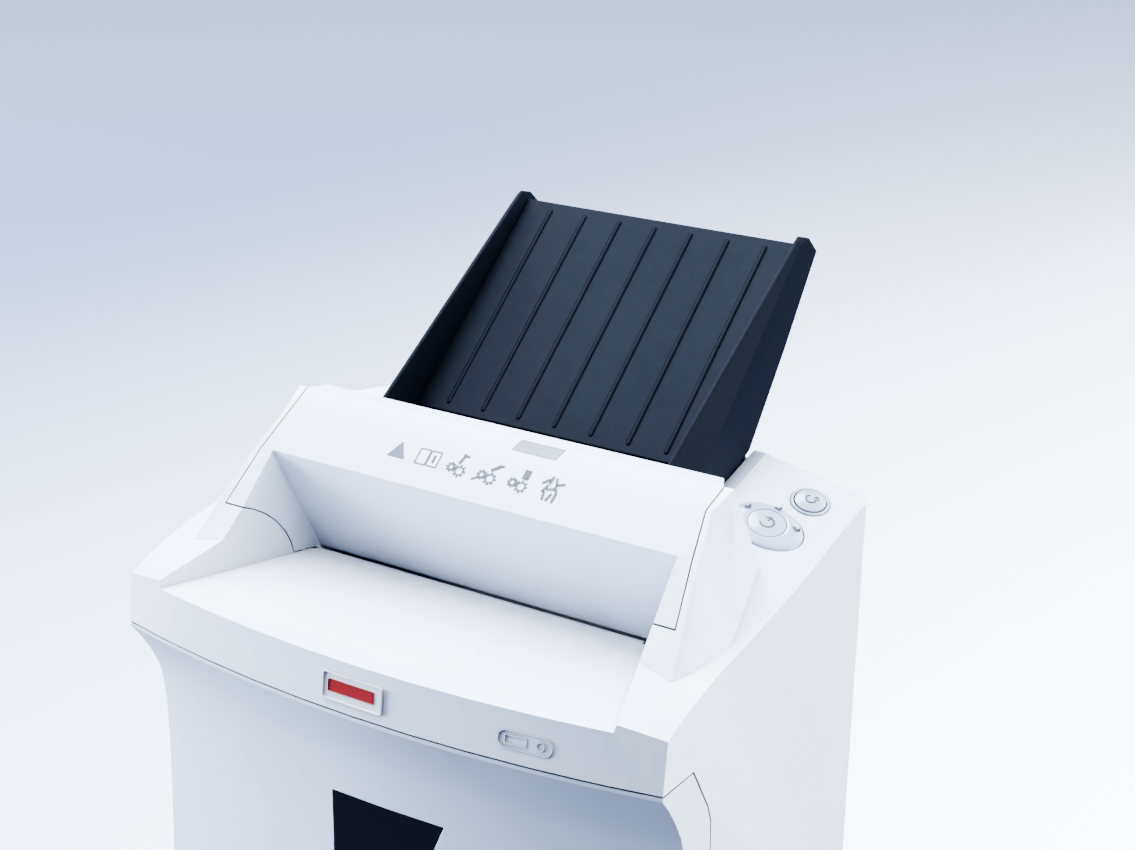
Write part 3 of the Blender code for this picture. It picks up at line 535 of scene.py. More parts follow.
@dataclass(frozen=True)
class CircuitLaminate:
    """Green solder resist over copper tracks."""

    name: str
    resist: Colour = (0.012, 0.12, 0.05)
    track: Colour = (0.03, 0.24, 0.09)

    def material(self, groups: ShaderGroups) -> bpy.types.Material:
        """Build the material from the shared groups.

        Args:
            groups: The shared effects.

        Returns:
            The finished material.
        """
        finish = Finish(self.name)
        bricks = finish.tree.nodes.new("ShaderNodeTexBrick")
        bricks.inputs["Scale"].default_value = 160.0
        bricks.inputs["Mortar Size"].default_value = 0.12
        bricks.inputs["Color1"].default_value = (*self.resist, 1.0)
        bricks.inputs["Color2"].default_value = (*self.resist, 1.0)
        bricks.inputs["Mortar"].default_value = (*self.track, 1.0)
        finish.tree.links.new(finish.coordinate, bricks.inputs["Vector"])
        dust = finish.group(groups.dust, Colour=bricks.outputs["Color"], Amount=0.4)
        finish.tree.links.new(dust.outputs["Colour"], finish.shader.inputs["Base Color"])
        finish.bump(bricks.outputs["Fac"], 0.3, 0.00005)
        finish.shader.inputs["Roughness"].default_value = 0.35
        return finish.material


@dataclass(frozen=True)
class PadInk:
    """Printed ink, a little thin in places."""

    name: str
    colour: Colour
    thin: Colour
    roughness: float = 0.45

    def material(self, groups: ShaderGroups) -> bpy.types.Material:
        """Build the material from the shared groups.

        Args:
            groups: The shared effects.

        Returns:
            The finished material.
        """
        finish = Finish(self.name)
        grain = finish.group(groups.grain, Grain_Size=0.0005)
        drift = finish.group(groups.drift, Colour=(*self.colour, 1.0), Shade=(*self.thin, 1.0), Spread=0.6)
        finish.tree.links.new(drift.outputs["Colour"], finish.shader.inputs["Base Color"])
        finish.spread(grain.outputs["Mottle"], self.roughness - 0.06, self.roughness + 0.06, "Roughness")
        finish.bump(grain.outputs["Height"], 0.2, 0.00002)
        return finish.material


class Palette:
    """Every finish of the machine, built once."""

    def __init__(self) -> None:
        """Build the shared groups and the materials."""
        groups = ShaderGroups()
        white, grey = (0.68, 0.735, 0.86), (0.64, 0.70, 0.83)
        # seam and corner give the white, pale bin and button plastics their painted shade in seams and deep corners
        self.cover = MouldedPlastic(
            "white_cover_plastic", white, grey, 0.36, Grain.SATIN, 0.05, 0.35, seam=1.0, corner=0.75,
        ).material(groups)
        self.inner = MouldedPlastic(
            "pale_bin_plastic", (0.66, 0.69, 0.74), (0.58, 0.61, 0.66), 0.5, Grain.FINE, 0.25, seam=0.9, corner=0.5,
        ).material(groups)
        self.black = MouldedPlastic(
            "black_rack_plastic", (0.0019, 0.0029, 0.0055), (0.0030, 0.0044, 0.0080), 0.6, Grain.FINE, 0.002, 0.4,
            (0.010, 0.014, 0.024), gloss=0.015,
        ).material(groups)
        self.dark = MouldedPlastic(
            "dark_chassis_plastic", (0.016, 0.019, 0.025), (0.011, 0.013, 0.018), 0.55, Grain.COARSE, 0.03, 0.4,
            (0.07, 0.08, 0.10), gloss=0.25,
        ).material(groups)
        self.button = MouldedPlastic(
            "pale_button_plastic", (0.34, 0.40, 0.52), (0.29, 0.35, 0.47), 0.2, Grain.POLISHED, 0.02, 0.3, coat=0.5,
            seam=1.0, corner=0.3,
        ).material(groups)
        self.smoke = MouldedPlastic(
            "smoked_window_plastic", (0.0022, 0.0020, 0.0045), (0.0035, 0.0032, 0.006), 0.12, Grain.POLISHED, 0.003,
            0.2, (0.01, 0.01, 0.016), gloss=0.12,
        ).material(groups)
        self.nylon = MouldedPlastic(
            "natural_gear_nylon", (0.74, 0.72, 0.65), (0.66, 0.63, 0.55), 0.45, Grain.SATIN, 0.3, 0.2,
            (0.8, 0.78, 0.7),
        ).material(groups)
        self.plated = WorkedMetal(
            "zinc_plated_steel", (0.60, 0.62, 0.65), (0.48, 0.50, 0.52), 0.38, (1.0, 0.06, 1.0), 0.1,
        ).material(groups)
        self.bright = WorkedMetal(
            "ground_steel", (0.56, 0.57, 0.58), (0.42, 0.43, 0.45), 0.3, (0.05, 1.0, 1.0),
        ).material(groups)
        self.hard = WorkedMetal(
            "oiled_cutter_steel", (0.27, 0.275, 0.29), (0.16, 0.165, 0.17), 0.28, (1.0, 0.1, 0.1),
        ).material(groups)
        self.rubber = MouldedRubber("matt_tyre_rubber").material(groups)
        self.laminate = CircuitLaminate("green_circuit_laminate").material(groups)
        self.ink = PadInk("grey_pad_ink", (0.026, 0.037, 0.064), (0.038, 0.052, 0.085)).material(groups)
        self.dark_ink = PadInk("dark_pad_ink", (0.010, 0.012, 0.02), (0.02, 0.024, 0.036)).material(groups)
        self.pale_ink = PadInk("pale_pad_ink", (0.040, 0.054, 0.098), (0.060, 0.080, 0.135)).material(groups)
        self.red_ink = PadInk("red_pad_ink", (0.24, 0.0004, 0.003), (0.20, 0.0006, 0.004), 0.3).material(groups)
        self.plate = MouldedPlastic(
            "clear_coated_plate", (0.80, 0.82, 0.87), (0.78, 0.80, 0.85), 0.22, Grain.POLISHED, 0.0, 0.2, coat=0.5,
        ).material(groups)


# ---------------------------------------------------------------- the bench
class Bench:
    """Hand tools: short steps round Blender's own operators."""

    @staticmethod
    def clear() -> None:
        """Leave edit mode and deselect everything."""
        if bpy.context.object and bpy.context.object.mode != "OBJECT":
            bpy.ops.object.mode_set(mode="OBJECT")
        bpy.ops.object.select_all(action="DESELECT")

    @classmethod
    def pick(cls, piece: bpy.types.Object) -> None:
        """Select one piece alone and make it active.

        Args:
            piece: The piece.
        """
        cls.clear()
        piece.select_set(True)
        bpy.context.view_layer.objects.active = piece

    @classmethod
    def named(cls, name: str) -> bpy.types.Object:
        """Name the piece that an operator has just made.

        Args:
            name: The piece's and its mesh's name.

        Returns:
            The piece.
        """
        piece = bpy.context.object
        piece.name = name
        piece.data.name = name
        return piece

    @classmethod
    def copies(cls, piece: bpy.types.Object, count: int) -> list[bpy.types.Object]:
        """Copy a finished piece, each copy with its own mesh.

        Args:
            piece: The piece that is modelled once.
            count: How many there are in all.

        Returns:
            The piece itself and its copies.
        """
        pieces = [piece]
        for _ in range(count - 1):
            cls.pick(piece)
            bpy.ops.object.duplicate(linked=False)
            pieces.append(bpy.context.object)
        return pieces

    @classmethod
    def settle(cls, piece: bpy.types.Object, matrix: Optional[Matrix] = None) -> None:
        """Place a piece and put that place into its mesh.

        Args:
            piece: The piece to place.
            matrix: Where it goes, or None to keep it where it is.
        """
        if matrix is not None:
            piece.matrix_world = matrix @ piece.matrix_world
        cls.pick(piece)
        bpy.context.view_layer.update()
        bpy.ops.object.transform_apply(location=True, rotation=True, scale=True)

    @classmethod
    def round_off(cls, piece: bpy.types.Object, width: float, segments: int = 2, angle: float = 24.0) -> None:
        """Bevel the sharp edges, weight the normals by area and apply both.

        Args:
            piece: The piece to work on.
            width: The bevel's width.
            segments: How many faces across it.
            angle: The smallest angle between two faces that is an edge, in degrees.
        """
        cls.pick(piece)
        bpy.ops.object.shade_smooth()
        bevel = piece.modifiers.new("rounded_edges", "BEVEL")
        bevel.width = width
        bevel.segments = segments
        bevel.limit_method = "ANGLE"
        bevel.angle_limit = math.radians(angle)
        bevel.use_clamp_overlap = True
        bevel.loop_slide = True
        bevel.miter_outer = "MITER_ARC"
        weighted = piece.modifiers.new("flat_faces", "WEIGHTED_NORMAL")
        weighted.weight = 90
        weighted.keep_sharp = True
        for modifier in list(piece.modifiers):
            bpy.ops.object.modifier_apply(modifier=modifier.name)

    @classmethod
    def crisp(cls, piece: bpy.types.Object, angle: float = 30.0) -> None:
        """Shade smooth, with edges over an angle left sharp.

        Args:
            piece: The piece to shade.
            angle: The smallest angle that stays sharp, in degrees.
        """
        cls.pick(piece)
        bpy.ops.object.shade_smooth_by_angle(angle=math.radians(angle))

    @classmethod
    def recast(
        cls, node: str, width: float, segments: int = 2, angle: float = 24.0, planar: float = 0.4,
    ) -> bpy.types.Object:
        """Make the moulded piece of a CAD node: a welded copy with its flat faces whole and its edges rounded.

        Args:
            node: The CAD node it stands for.
            width: How far its edges are rounded.
            segments: How many faces across each rounded edge.
            angle: The smallest angle that is rounded, in degrees.
            planar: Faces that lie within this angle become one, in degrees.

        Returns:
            The new piece.
        """
        source = frame["nodes"][node]
        piece = bpy.data.objects.new(node + "_skin", source.data.copy())
        bpy.context.scene.collection.objects.link(piece)
        piece.data.name = piece.name
        if "custom_normal" in piece.data.attributes:
            piece.data.attributes.remove(piece.data.attributes["custom_normal"])
        cls.pick(piece)
        bpy.ops.object.mode_set(mode="EDIT")
        bpy.ops.mesh.select_all(action="SELECT")
        bpy.ops.mesh.remove_doubles(threshold=0.00001)
        bpy.ops.mesh.dissolve_limited(angle_limit=math.radians(planar))
        bpy.ops.object.mode_set(mode="OBJECT")
        if width > 0:
            cls.round_off(piece, width, segments, angle)
        else:
            cls.crisp(piece, angle)
        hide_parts(node)
        return piece

    @classmethod
    def loft(
        cls, name: str, loops: Iterable[tuple[Place, float, float]], corners: int = 48, cap: bool = True,
    ) -> bpy.types.Object:
        """Draw a round or oval loop along a stack of places and sizes, extruding it from each to the next.

        Args:
            name: The piece's name.
            loops: Centre, radius along X and radius along Y of each loop.
            corners: How many corners each loop has.
            cap: Whether both ends are filled.

        Returns:
            The new piece, with its faces outwards.
        """
        stack = list(loops)
        cls.clear()
        bpy.ops.mesh.primitive_circle_add(vertices=corners, radius=1.0, location=(0, 0, 0))
        piece = cls.named(name)
        bpy.ops.object.mode_set(mode="EDIT")
        bpy.ops.mesh.select_mode(type="EDGE")
        bpy.ops.mesh.select_all(action="SELECT")
        bpy.ops.transform.resize(value=(stack[0][1], stack[0][2], 1.0), center_override=(0, 0, 0))
        bpy.ops.transform.translate(value=stack[0][0])
        for before, after in zip(stack, stack[1:]):
            bpy.ops.mesh.extrude_edges_move()
            size = (after[1] / before[1], after[2] / before[2], 1.0)
            bpy.ops.transform.resize(value=size, center_override=before[0])
            bpy.ops.transform.translate(value=tuple(p - q for p, q in zip(after[0], before[0])))
        if cap:
            bpy.ops.mesh.edge_face_add()
            bpy.ops.mesh.select_all(action="DESELECT")
            bpy.ops.mesh.select_non_manifold()
            bpy.ops.mesh.edge_face_add()
        bpy.ops.object.mode_set(mode="OBJECT")
        cls.face_out(piece)
        return piece

    @classmethod
    def face_out(cls, piece: bpy.types.Object) -> None:
        """Merge doubles and turn the faces outwards.

        Args:
            piece: The piece to mend.
        """
        cls.pick(piece)
        bpy.ops.object.mode_set(mode="EDIT")
        bpy.ops.mesh.select_mode(type="VERT")
        bpy.ops.mesh.select_all(action="SELECT")
        bpy.ops.mesh.remove_doubles(threshold=0.000001)
        bpy.ops.mesh.normals_make_consistent(inside=False)
        bpy.ops.object.mode_set(mode="OBJECT")
        cls.check_sides(piece)

    @classmethod
    def check_sides(cls, piece: bpy.types.Object) -> None:
        """Turn a closed piece the right way out if the volume inside its faces is negative.

        Args:
            piece: The piece to check.
        """
        volume = 0.0
        for polygon in piece.data.polygons:
            corners = [piece.data.vertices[v].co for v in polygon.vertices]
            for second, third in zip(corners[1:], corners[2:]):
                volume += corners[0].dot(second.cross(third))
        if volume < 0.0:
            cls.pick(piece)
            bpy.ops.object.mode_set(mode="EDIT")
            bpy.ops.mesh.select_all(action="SELECT")
            bpy.ops.mesh.flip_normals()
            bpy.ops.object.mode_set(mode="OBJECT")

    @classmethod
    def slab(cls, name: str, size: Place, centre: Place, corner: float, rounding: float) -> bpy.types.Object:
        """Make a slab with round corners in plan: a block with its upright edges bevelled, then its top edges.

        Args:
            name: The piece's name.
            size: Its full size.
            centre: Its middle.
            corner: The radius of its upright corners.
            rounding: The radius of its top and bottom edges.

        Returns:
            The new piece.
        """
        cls.clear()
        bpy.ops.mesh.primitive_cube_add(size=1.0, location=centre, scale=size)
        piece = cls.named(name)
        bpy.ops.object.transform_apply(location=True, rotation=True, scale=True)
        if corner > 0:
            for edge in piece.data.edges:
                first, second = (piece.data.vertices[v].co for v in edge.vertices)
                edge.select = abs((first - second).normalized().z) > 0.9
            bpy.ops.object.mode_set(mode="EDIT")
            bpy.ops.mesh.select_mode(type="EDGE")
            bpy.ops.mesh.bevel(offset=corner, segments=8, affect="EDGES", clamp_overlap=False)
            bpy.ops.object.mode_set(mode="OBJECT")
            cls.face_out(piece)
        cls.check_sides(piece)
        cls.round_off(piece, rounding, 2, 40.0)
        cls.check_sides(piece)
        return piece

    @classmethod
    def outline(
        cls, name: str, width: float, height: float, corner: float, line: float, thick: float,
    ) -> bpy.types.Object:
        """Make a raised outline with round corners, as a bevelled plane that is inset and opened.

        Args:
            name: The piece's name.
            width: Its full width.
            height: Its full height.
            corner: Its corner radius.
            line: How wide the line is.
            thick: How far it stands up.

        Returns:
            The new piece, centred on the origin.
        """
        cls.clear()
        bpy.ops.mesh.primitive_plane_add(size=1.0, location=(0, 0, 0))
        piece = cls.named(name)
        piece.scale = (width, height, 1.0)
        cls.settle(piece)
        bpy.ops.object.mode_set(mode="EDIT")
        bpy.ops.mesh.select_all(action="SELECT")
        bpy.ops.mesh.bevel(offset=corner, segments=8, affect="VERTICES", clamp_overlap=False)
        bpy.ops.mesh.select_all(action="SELECT")
        bpy.ops.mesh.remove_doubles(threshold=0.000001)
        bpy.ops.mesh.select_mode(type="FACE")
        bpy.ops.mesh.select_all(action="SELECT")
        bpy.ops.mesh.inset(thickness=line, depth=0.0)
        bpy.ops.mesh.delete(type="FACE")
        bpy.ops.object.mode_set(mode="OBJECT")
        cls.thicken(piece, thick)
        return piece

    @classmethod
    def thicken(cls, piece: bpy.types.Object, thick: float) -> None:
        """Give a flat piece a thickness, half on each side of its plane.

        Args:
            piece: The flat piece.
            thick: Its thickness.
        """
        cls.pick(piece)
        wall = piece.modifiers.new("thickness", "SOLIDIFY")
        wall.thickness = thick
        wall.offset = 0.0
        bpy.ops.object.modifier_apply(modifier=wall.name)
        cls.face_out(piece)

    @classmethod
    def gather(cls, name: str, pieces: Sequence[bpy.types.Object]) -> bpy.types.Object:
        """Join several pieces into one.

        Args:
            name: The joined piece's name.
            pieces: What to join, the first being kept.

        Returns:
            The joined piece.
        """
        for piece in pieces:
            cls.check_sides(piece)
        cls.clear()
        for piece in pieces:
            piece.select_set(True)
        bpy.context.view_layer.objects.active = pieces[0]
        if len(pieces) > 1:
            bpy.ops.object.join()
        return cls.named(name)


def dress(piece: bpy.types.Object, finish: bpy.types.Material, body: str) -> bpy.types.Object:
    """Give a new piece its finish and the body it rides on.

    Args:
        piece: The finished mesh, at rest and in place.
        finish: Its material.
        body: The CAD body that carries it.

    Returns:
        The piece.
    """
    piece.data.materials.clear()
    piece.data.materials.append(finish)
    for polygon in piece.data.polygons:
        polygon.material_index = 0
    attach(piece, body)
    LOG.info("%s: %d faces, rides on %s", piece.name, len(piece.data.polygons), body)
    return piece


@dataclass(frozen=True)
class Datum:
    """The machine's own corner: its middle plane, the ends of the front rim and the seam under the rim."""

    middle: float
    front: float
    seam: float
    tilt_x: float = 0.292
    tilt_y: float = 0.270
    corner_y: float = 240.0
    corner_z: float = 91.0
    half_width: float = 198.0

    @classmethod
    def from_frame(cls, bulge: float = 0.022, skirt: float = 0.200) -> "Datum":
        """Read the datum from the head cover, whose rim bulges forwards and whose skirt hangs below the seam.

        Args:
            bulge: How far the rim stands in front of its own ends.
            skirt: How far the skirt hangs below the seam.

        Returns:
            The datum.
        """
        low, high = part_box("head_cover")
        return cls((low.x + high.x) / 2, low.y + bulge, low.z + skirt)

    def at(self, x: float, y: float, z: float) -> Vector:
        """Turn a place in millimetres from the datum into the row frame."""
        return Vector((self.middle + x * MM, self.front + y * MM, self.seam + z * MM))

    def shoulder(self, x: float, y: float) -> float:
        """Return the control shoulder's height at a place in plan, in millimetres."""
        return self.corner_z + self.tilt_x * (self.half_width - x) + self.tilt_y * (y - self.corner_y)

    def plane(self, origin: Place, across: Vector, up: Vector) -> Matrix:
        """Make the matrix that lays a flat piece on a plane.

        Args:
            origin: The piece's middle, in millimetres from the datum.
            across: The direction of the piece's X.
            up: The direction of the piece's Y.

        Returns:
            The matrix, with Z out of the plane.
        """
        x = across.normalized()
        z = x.cross(up).normalized()
        y = z.cross(x)
        matrix = Matrix.Identity(4)
        matrix.col[0][:3], matrix.col[1][:3], matrix.col[2][:3] = x, y, z
        matrix.translation = self.at(*origin)
        return matrix


# ---------------------------------------------------------------- sub-assemblies
@dataclass
class HeadShell:
    """The white head: rim, tray, cheeks, control shoulder and the hinged hood, with their moulded and printed marks."""

    datum: Datum
    palette: Palette
    edge: float = 0.0011
    rim_bulge: float = 22.0
    rim_radius: float = 902.0
    rim_lean: float = 3.8
    rim_height: float = 31.0
    badge_width: float = 0.0345
    badge_height: float = 0.0112
    badge_at: tuple[float, float] = (115.8, 13.6)
    plate_at: tuple[float, float] = (-0.2, 14.4)
    plate_size: tuple[float, float] = (0.043, 0.0165)
    fascia_low: tuple[float, float] = (90.0, 99.0)
    fascia_high: tuple[float, float] = (114.5, 120.0)
    crown_high: tuple[float, float] = (133.0, 129.0)
    icon_row: tuple[float, ...] = (-61.3, -38.0, -16.0, 7.0, 29.9, 53.4)
    icon_up: float = 21.5
    icon_scale: float = 1.14

    def build(self) -> None:
        """Build the covers and their marks."""
        cover = Bench.recast("head_cover", self.edge, 3)
        dress(cover, self.palette.cover, "cabinet")
        hood = Bench.recast("hood", self.edge, 3)
        dress(hood, self.palette.cover, "hood")
        self.rim_badge()
        self.name_plate()
        self.pictograms()
        self.tag()
        self.slot_lip()

    def slot_lip(self) -> None:
        """Make the thin lip that narrows the entry slot along the back of the tray."""
        lip = Bench.slab("slot_lip", (0.2496, 0.0042, 0.0012), (0, 0, 0), 0.0006, 0.0003)
        Bench.settle(lip, self.datum.plane((0.0, 99.4, 32.6), Vector((1, 0, 0)), Vector((0, 1, 0.02))))
        dress(lip, self.palette.cover, "cabinet")

    def rim_matrix(self, x: float, z: float) -> Matrix:
        """Return the plane that touches the rim's curved front at a place along it.

        Args:
            x: Across, in millimetres.
            z: Up from the seam, in millimetres.

        Returns:
            The matrix of that place.
        """
        y = -self.rim_bulge + x * x / (2.0 * self.rim_radius) + self.rim_lean * z / self.rim_height
        across, up = Vector((1.0, x / self.rim_radius, 0.0)), Vector((0.0, self.rim_lean, self.rim_height))
        return self.datum.plane((x, y, z), across, up)

    def rim_badge(self) -> None:
        """Mould the small raised outline with an oblong and a ring into the rim."""
        parts = [
            Bench.outline("badge_line", self.badge_width, self.badge_height, self.badge_height * 0.46, 0.0006, 0.0006)
        ]
        oblong = Bench.outline("badge_oblong", 0.0142, 0.0058, 0.0006, 0.0006, 0.0006)
        Bench.settle(oblong, Matrix.Translation((-0.0058, 0.0, 0.0)))
        circle = Bench.outline("badge_ring", 0.0052, 0.0056, 0.0025, 0.0006, 0.0006)
        Bench.settle(circle, Matrix.Translation((0.0098, 0.0, 0.0)))
        badge = Bench.gather("rim_badge", parts + [oblong, circle])
        Bench.settle(badge, self.rim_matrix(*self.badge_at))
        dress(badge, self.palette.cover, "cabinet")

    def name_plate(self) -> None:
        """Make the blank plate on the rim, with one plain coloured bar."""
        plate = Bench.slab("rim_plate", (*self.plate_size, 0.0006), (0, 0, -0.00018), 0.0016, 0.0001)
        Bench.settle(plate, self.rim_matrix(*self.plate_at))
        dress(plate, self.palette.plate, "cabinet")
        bar = Bench.slab("rim_plate_bar", (0.0335, 0.0078, 0.0002), (-0.0012, 0.0004, 0.00016), 0.0007, 0.00005)
        Bench.settle(bar, self.rim_matrix(*self.plate_at))
        dress(bar, self.palette.red_ink, "cabinet")

    def slope(self, x: float, along: float, low: tuple[float, float], high: tuple[float, float]) -> Matrix:
        """Return the plane of a sloping face of the hood at a distance up it.

        Args:
            x: Across, in millimetres.
            along: Up the slope from its lower edge, in millimetres.
            low: Y and Z of the lower edge.
            high: Y and Z of the upper edge.

        Returns:
            The matrix of that place.
        """
        rise = Vector((0.0, high[0] - low[0], high[1] - low[1]))
        place = rise.normalized() * along
        return self.datum.plane((x, low[0] + place.y, low[1] + place.z), Vector((1, 0, 0)), rise)

    def pictograms(self) -> None:
        """Print the row of six plain marks on the hood's fascia."""
        makers: list[Callable[[], list[bpy.types.Object]]] = [self.wedge, self.leaves]
        makers += [lambda: self.wheels(0), lambda: self.wheels(1), lambda: self.wheels(2), self.sprig]
        marks = []
        for x, maker in zip(self.icon_row, makers):
            mark = Bench.gather("mark", maker())
            place = self.slope(x, self.icon_up, self.fascia_low, self.fascia_high)
            Bench.settle(mark, place @ Matrix.Scale(self.icon_scale, 4))
            marks.append(mark)
        row = Bench.gather("fascia_marks", marks)
        dress(row, self.palette.ink, "hood")

    @staticmethod
    def ink(piece: bpy.types.Object, x: float = 0.0, y: float = 0.0, turn: float = 0.0) -> bpy.types.Object:
        """Move a printed shape to its place in the mark, in millimetres and degrees."""
        Bench.settle(piece, Matrix.Translation((x * MM, y * MM, 0)) @ Matrix.Rotation(math.radians(turn), 4, "Z"))
        return piece

    @staticmethod
    def bar(width: float, height: float) -> bpy.types.Object:
        """Make a small printed bar with softened corners, in millimetres."""
        return Bench.slab(
            "ink", (width * MM, height * MM, INK_DEPTH), (0, 0, 0), min(width, height) * 0.3 * MM, 0.00004,
        )

    def wedge(self) -> list[bpy.types.Object]:
        """Make the plain triangle.

        Returns:
            Its one shape.
        """
        Bench.clear()
        bpy.ops.mesh.primitive_circle_add(vertices=3, radius=0.0072, fill_type="NGON", location=(0, -0.001, 0))
        piece = Bench.named("ink")
        Bench.settle(piece)
        bpy.ops.object.mode_set(mode="EDIT")
        bpy.ops.mesh.select_all(action="SELECT")
        bpy.ops.mesh.bevel(offset=0.0007, segments=3, affect="VERTICES")
        bpy.ops.mesh.select_all(action="SELECT")
        bpy.ops.object.mode_set(mode="OBJECT")
        Bench.thicken(piece, INK_DEPTH)
        return [piece]

    def leaves(self) -> list[bpy.types.Object]:
        """Make the two open leaves.

        Returns:
            Their shapes.
        """
        reach = 3.7
        left, right = Bench.copies(Bench.outline("ink", 0.0078, 0.0105, 0.0012, INK_LINE, INK_DEPTH), 2)
        return [self.ink(left, -reach), self.ink(right, reach), self.ink(self.bar(1.2, 5.0), reach)]

    def cog(self, radius: float, x: float, y: float) -> list[bpy.types.Object]:
        """Make a small toothed ring, as a ring with short bars round it.

        Args:
            radius: Its outer radius, in millimetres.
            x: Its place across the mark.
            y: Its place up the mark.

        Returns:
            Its shapes.
        """
        across = 2 * radius * MM
        ring = Bench.outline("ink", across, across, radius * 0.96 * MM, INK_LINE, INK_DEPTH)
        shapes = [self.ink(ring, x, y)]
        reach = radius + 0.35
        for index, tooth in enumerate(Bench.copies(self.bar(1.4, 1.25), 8)):
            turn = 45.0 * index
            angle = math.radians(turn)
            shapes.append(self.ink(tooth, x + reach * math.cos(angle), y + reach * math.sin(angle), turn))
        return shapes

    def wheels(self, kind: int) -> list[bpy.types.Object]:
        """Make two toothed rings with one of three plain shapes over them.

        Args:
            kind: Which shape: 0, 1 or 2.

        Returns:
            Their shapes.
        """
        shapes = self.cog(2.9, 3.0, -3.2) + self.cog(2.1, -3.0, -1.8)
        if kind == 0:
            shapes += [self.ink(self.bar(1.5, 5.6), 1.6, 3.8, -18.0), self.ink(self.bar(4.2, 1.3), 3.4, 6.6, -12.0)]
        elif kind == 1:
            shapes += [
                self.ink(self.bar(6.2, 1.7), 3.8, 3.6, 38.0), self.ink(self.bar(4.4, 1.1), -6.0, -4.8, 32.0),
                self.ink(self.bar(3.4, 1.4), 6.6, 5.6, 4.0),
            ]
        else:
            shapes += [self.ink(bar, x, 4.3) for bar, x in zip(Bench.copies(self.bar(1.15, 6.0), 3), (1.9, 3.4, 4.9))]
        return shapes

    def sprig(self) -> list[bpy.types.Object]:
        """Make the spray of short bars.

        Returns:
            Its shapes.
        """
        places = (
            (-4.4, 3.6, 40), (-1.6, 4.8, 80), (1.8, 4.4, 110), (4.8, 3.4, 20), (-3.4, -0.6, 65), (0.2, -0.4, 15),
            (3.4, -0.6, 120), (-2.6, -5.0, 100), (1.0, -5.2, 70), (4.2, -5.4, 88),
        )
        bars = Bench.copies(self.bar(5.2, 1.35), len(places))
        return [self.ink(bar, x, y, turn) for bar, (x, y, turn) in zip(bars, places)]

    def tag(self) -> None:
        """Print the plain slanted tag on the hood's crown."""
        tag = Bench.slab("crown_tag", (0.0325, 0.0098, 0.00025), (0, 0, 0), 0.0004, 0.00004)
        for vertex in tag.data.vertices:
            vertex.co.x += vertex.co.y * 0.22
        Bench.settle(tag, self.slope(30.2, 14.6, self.fascia_high, self.crown_high))
        dress(tag, self.palette.pale_ink, "hood")


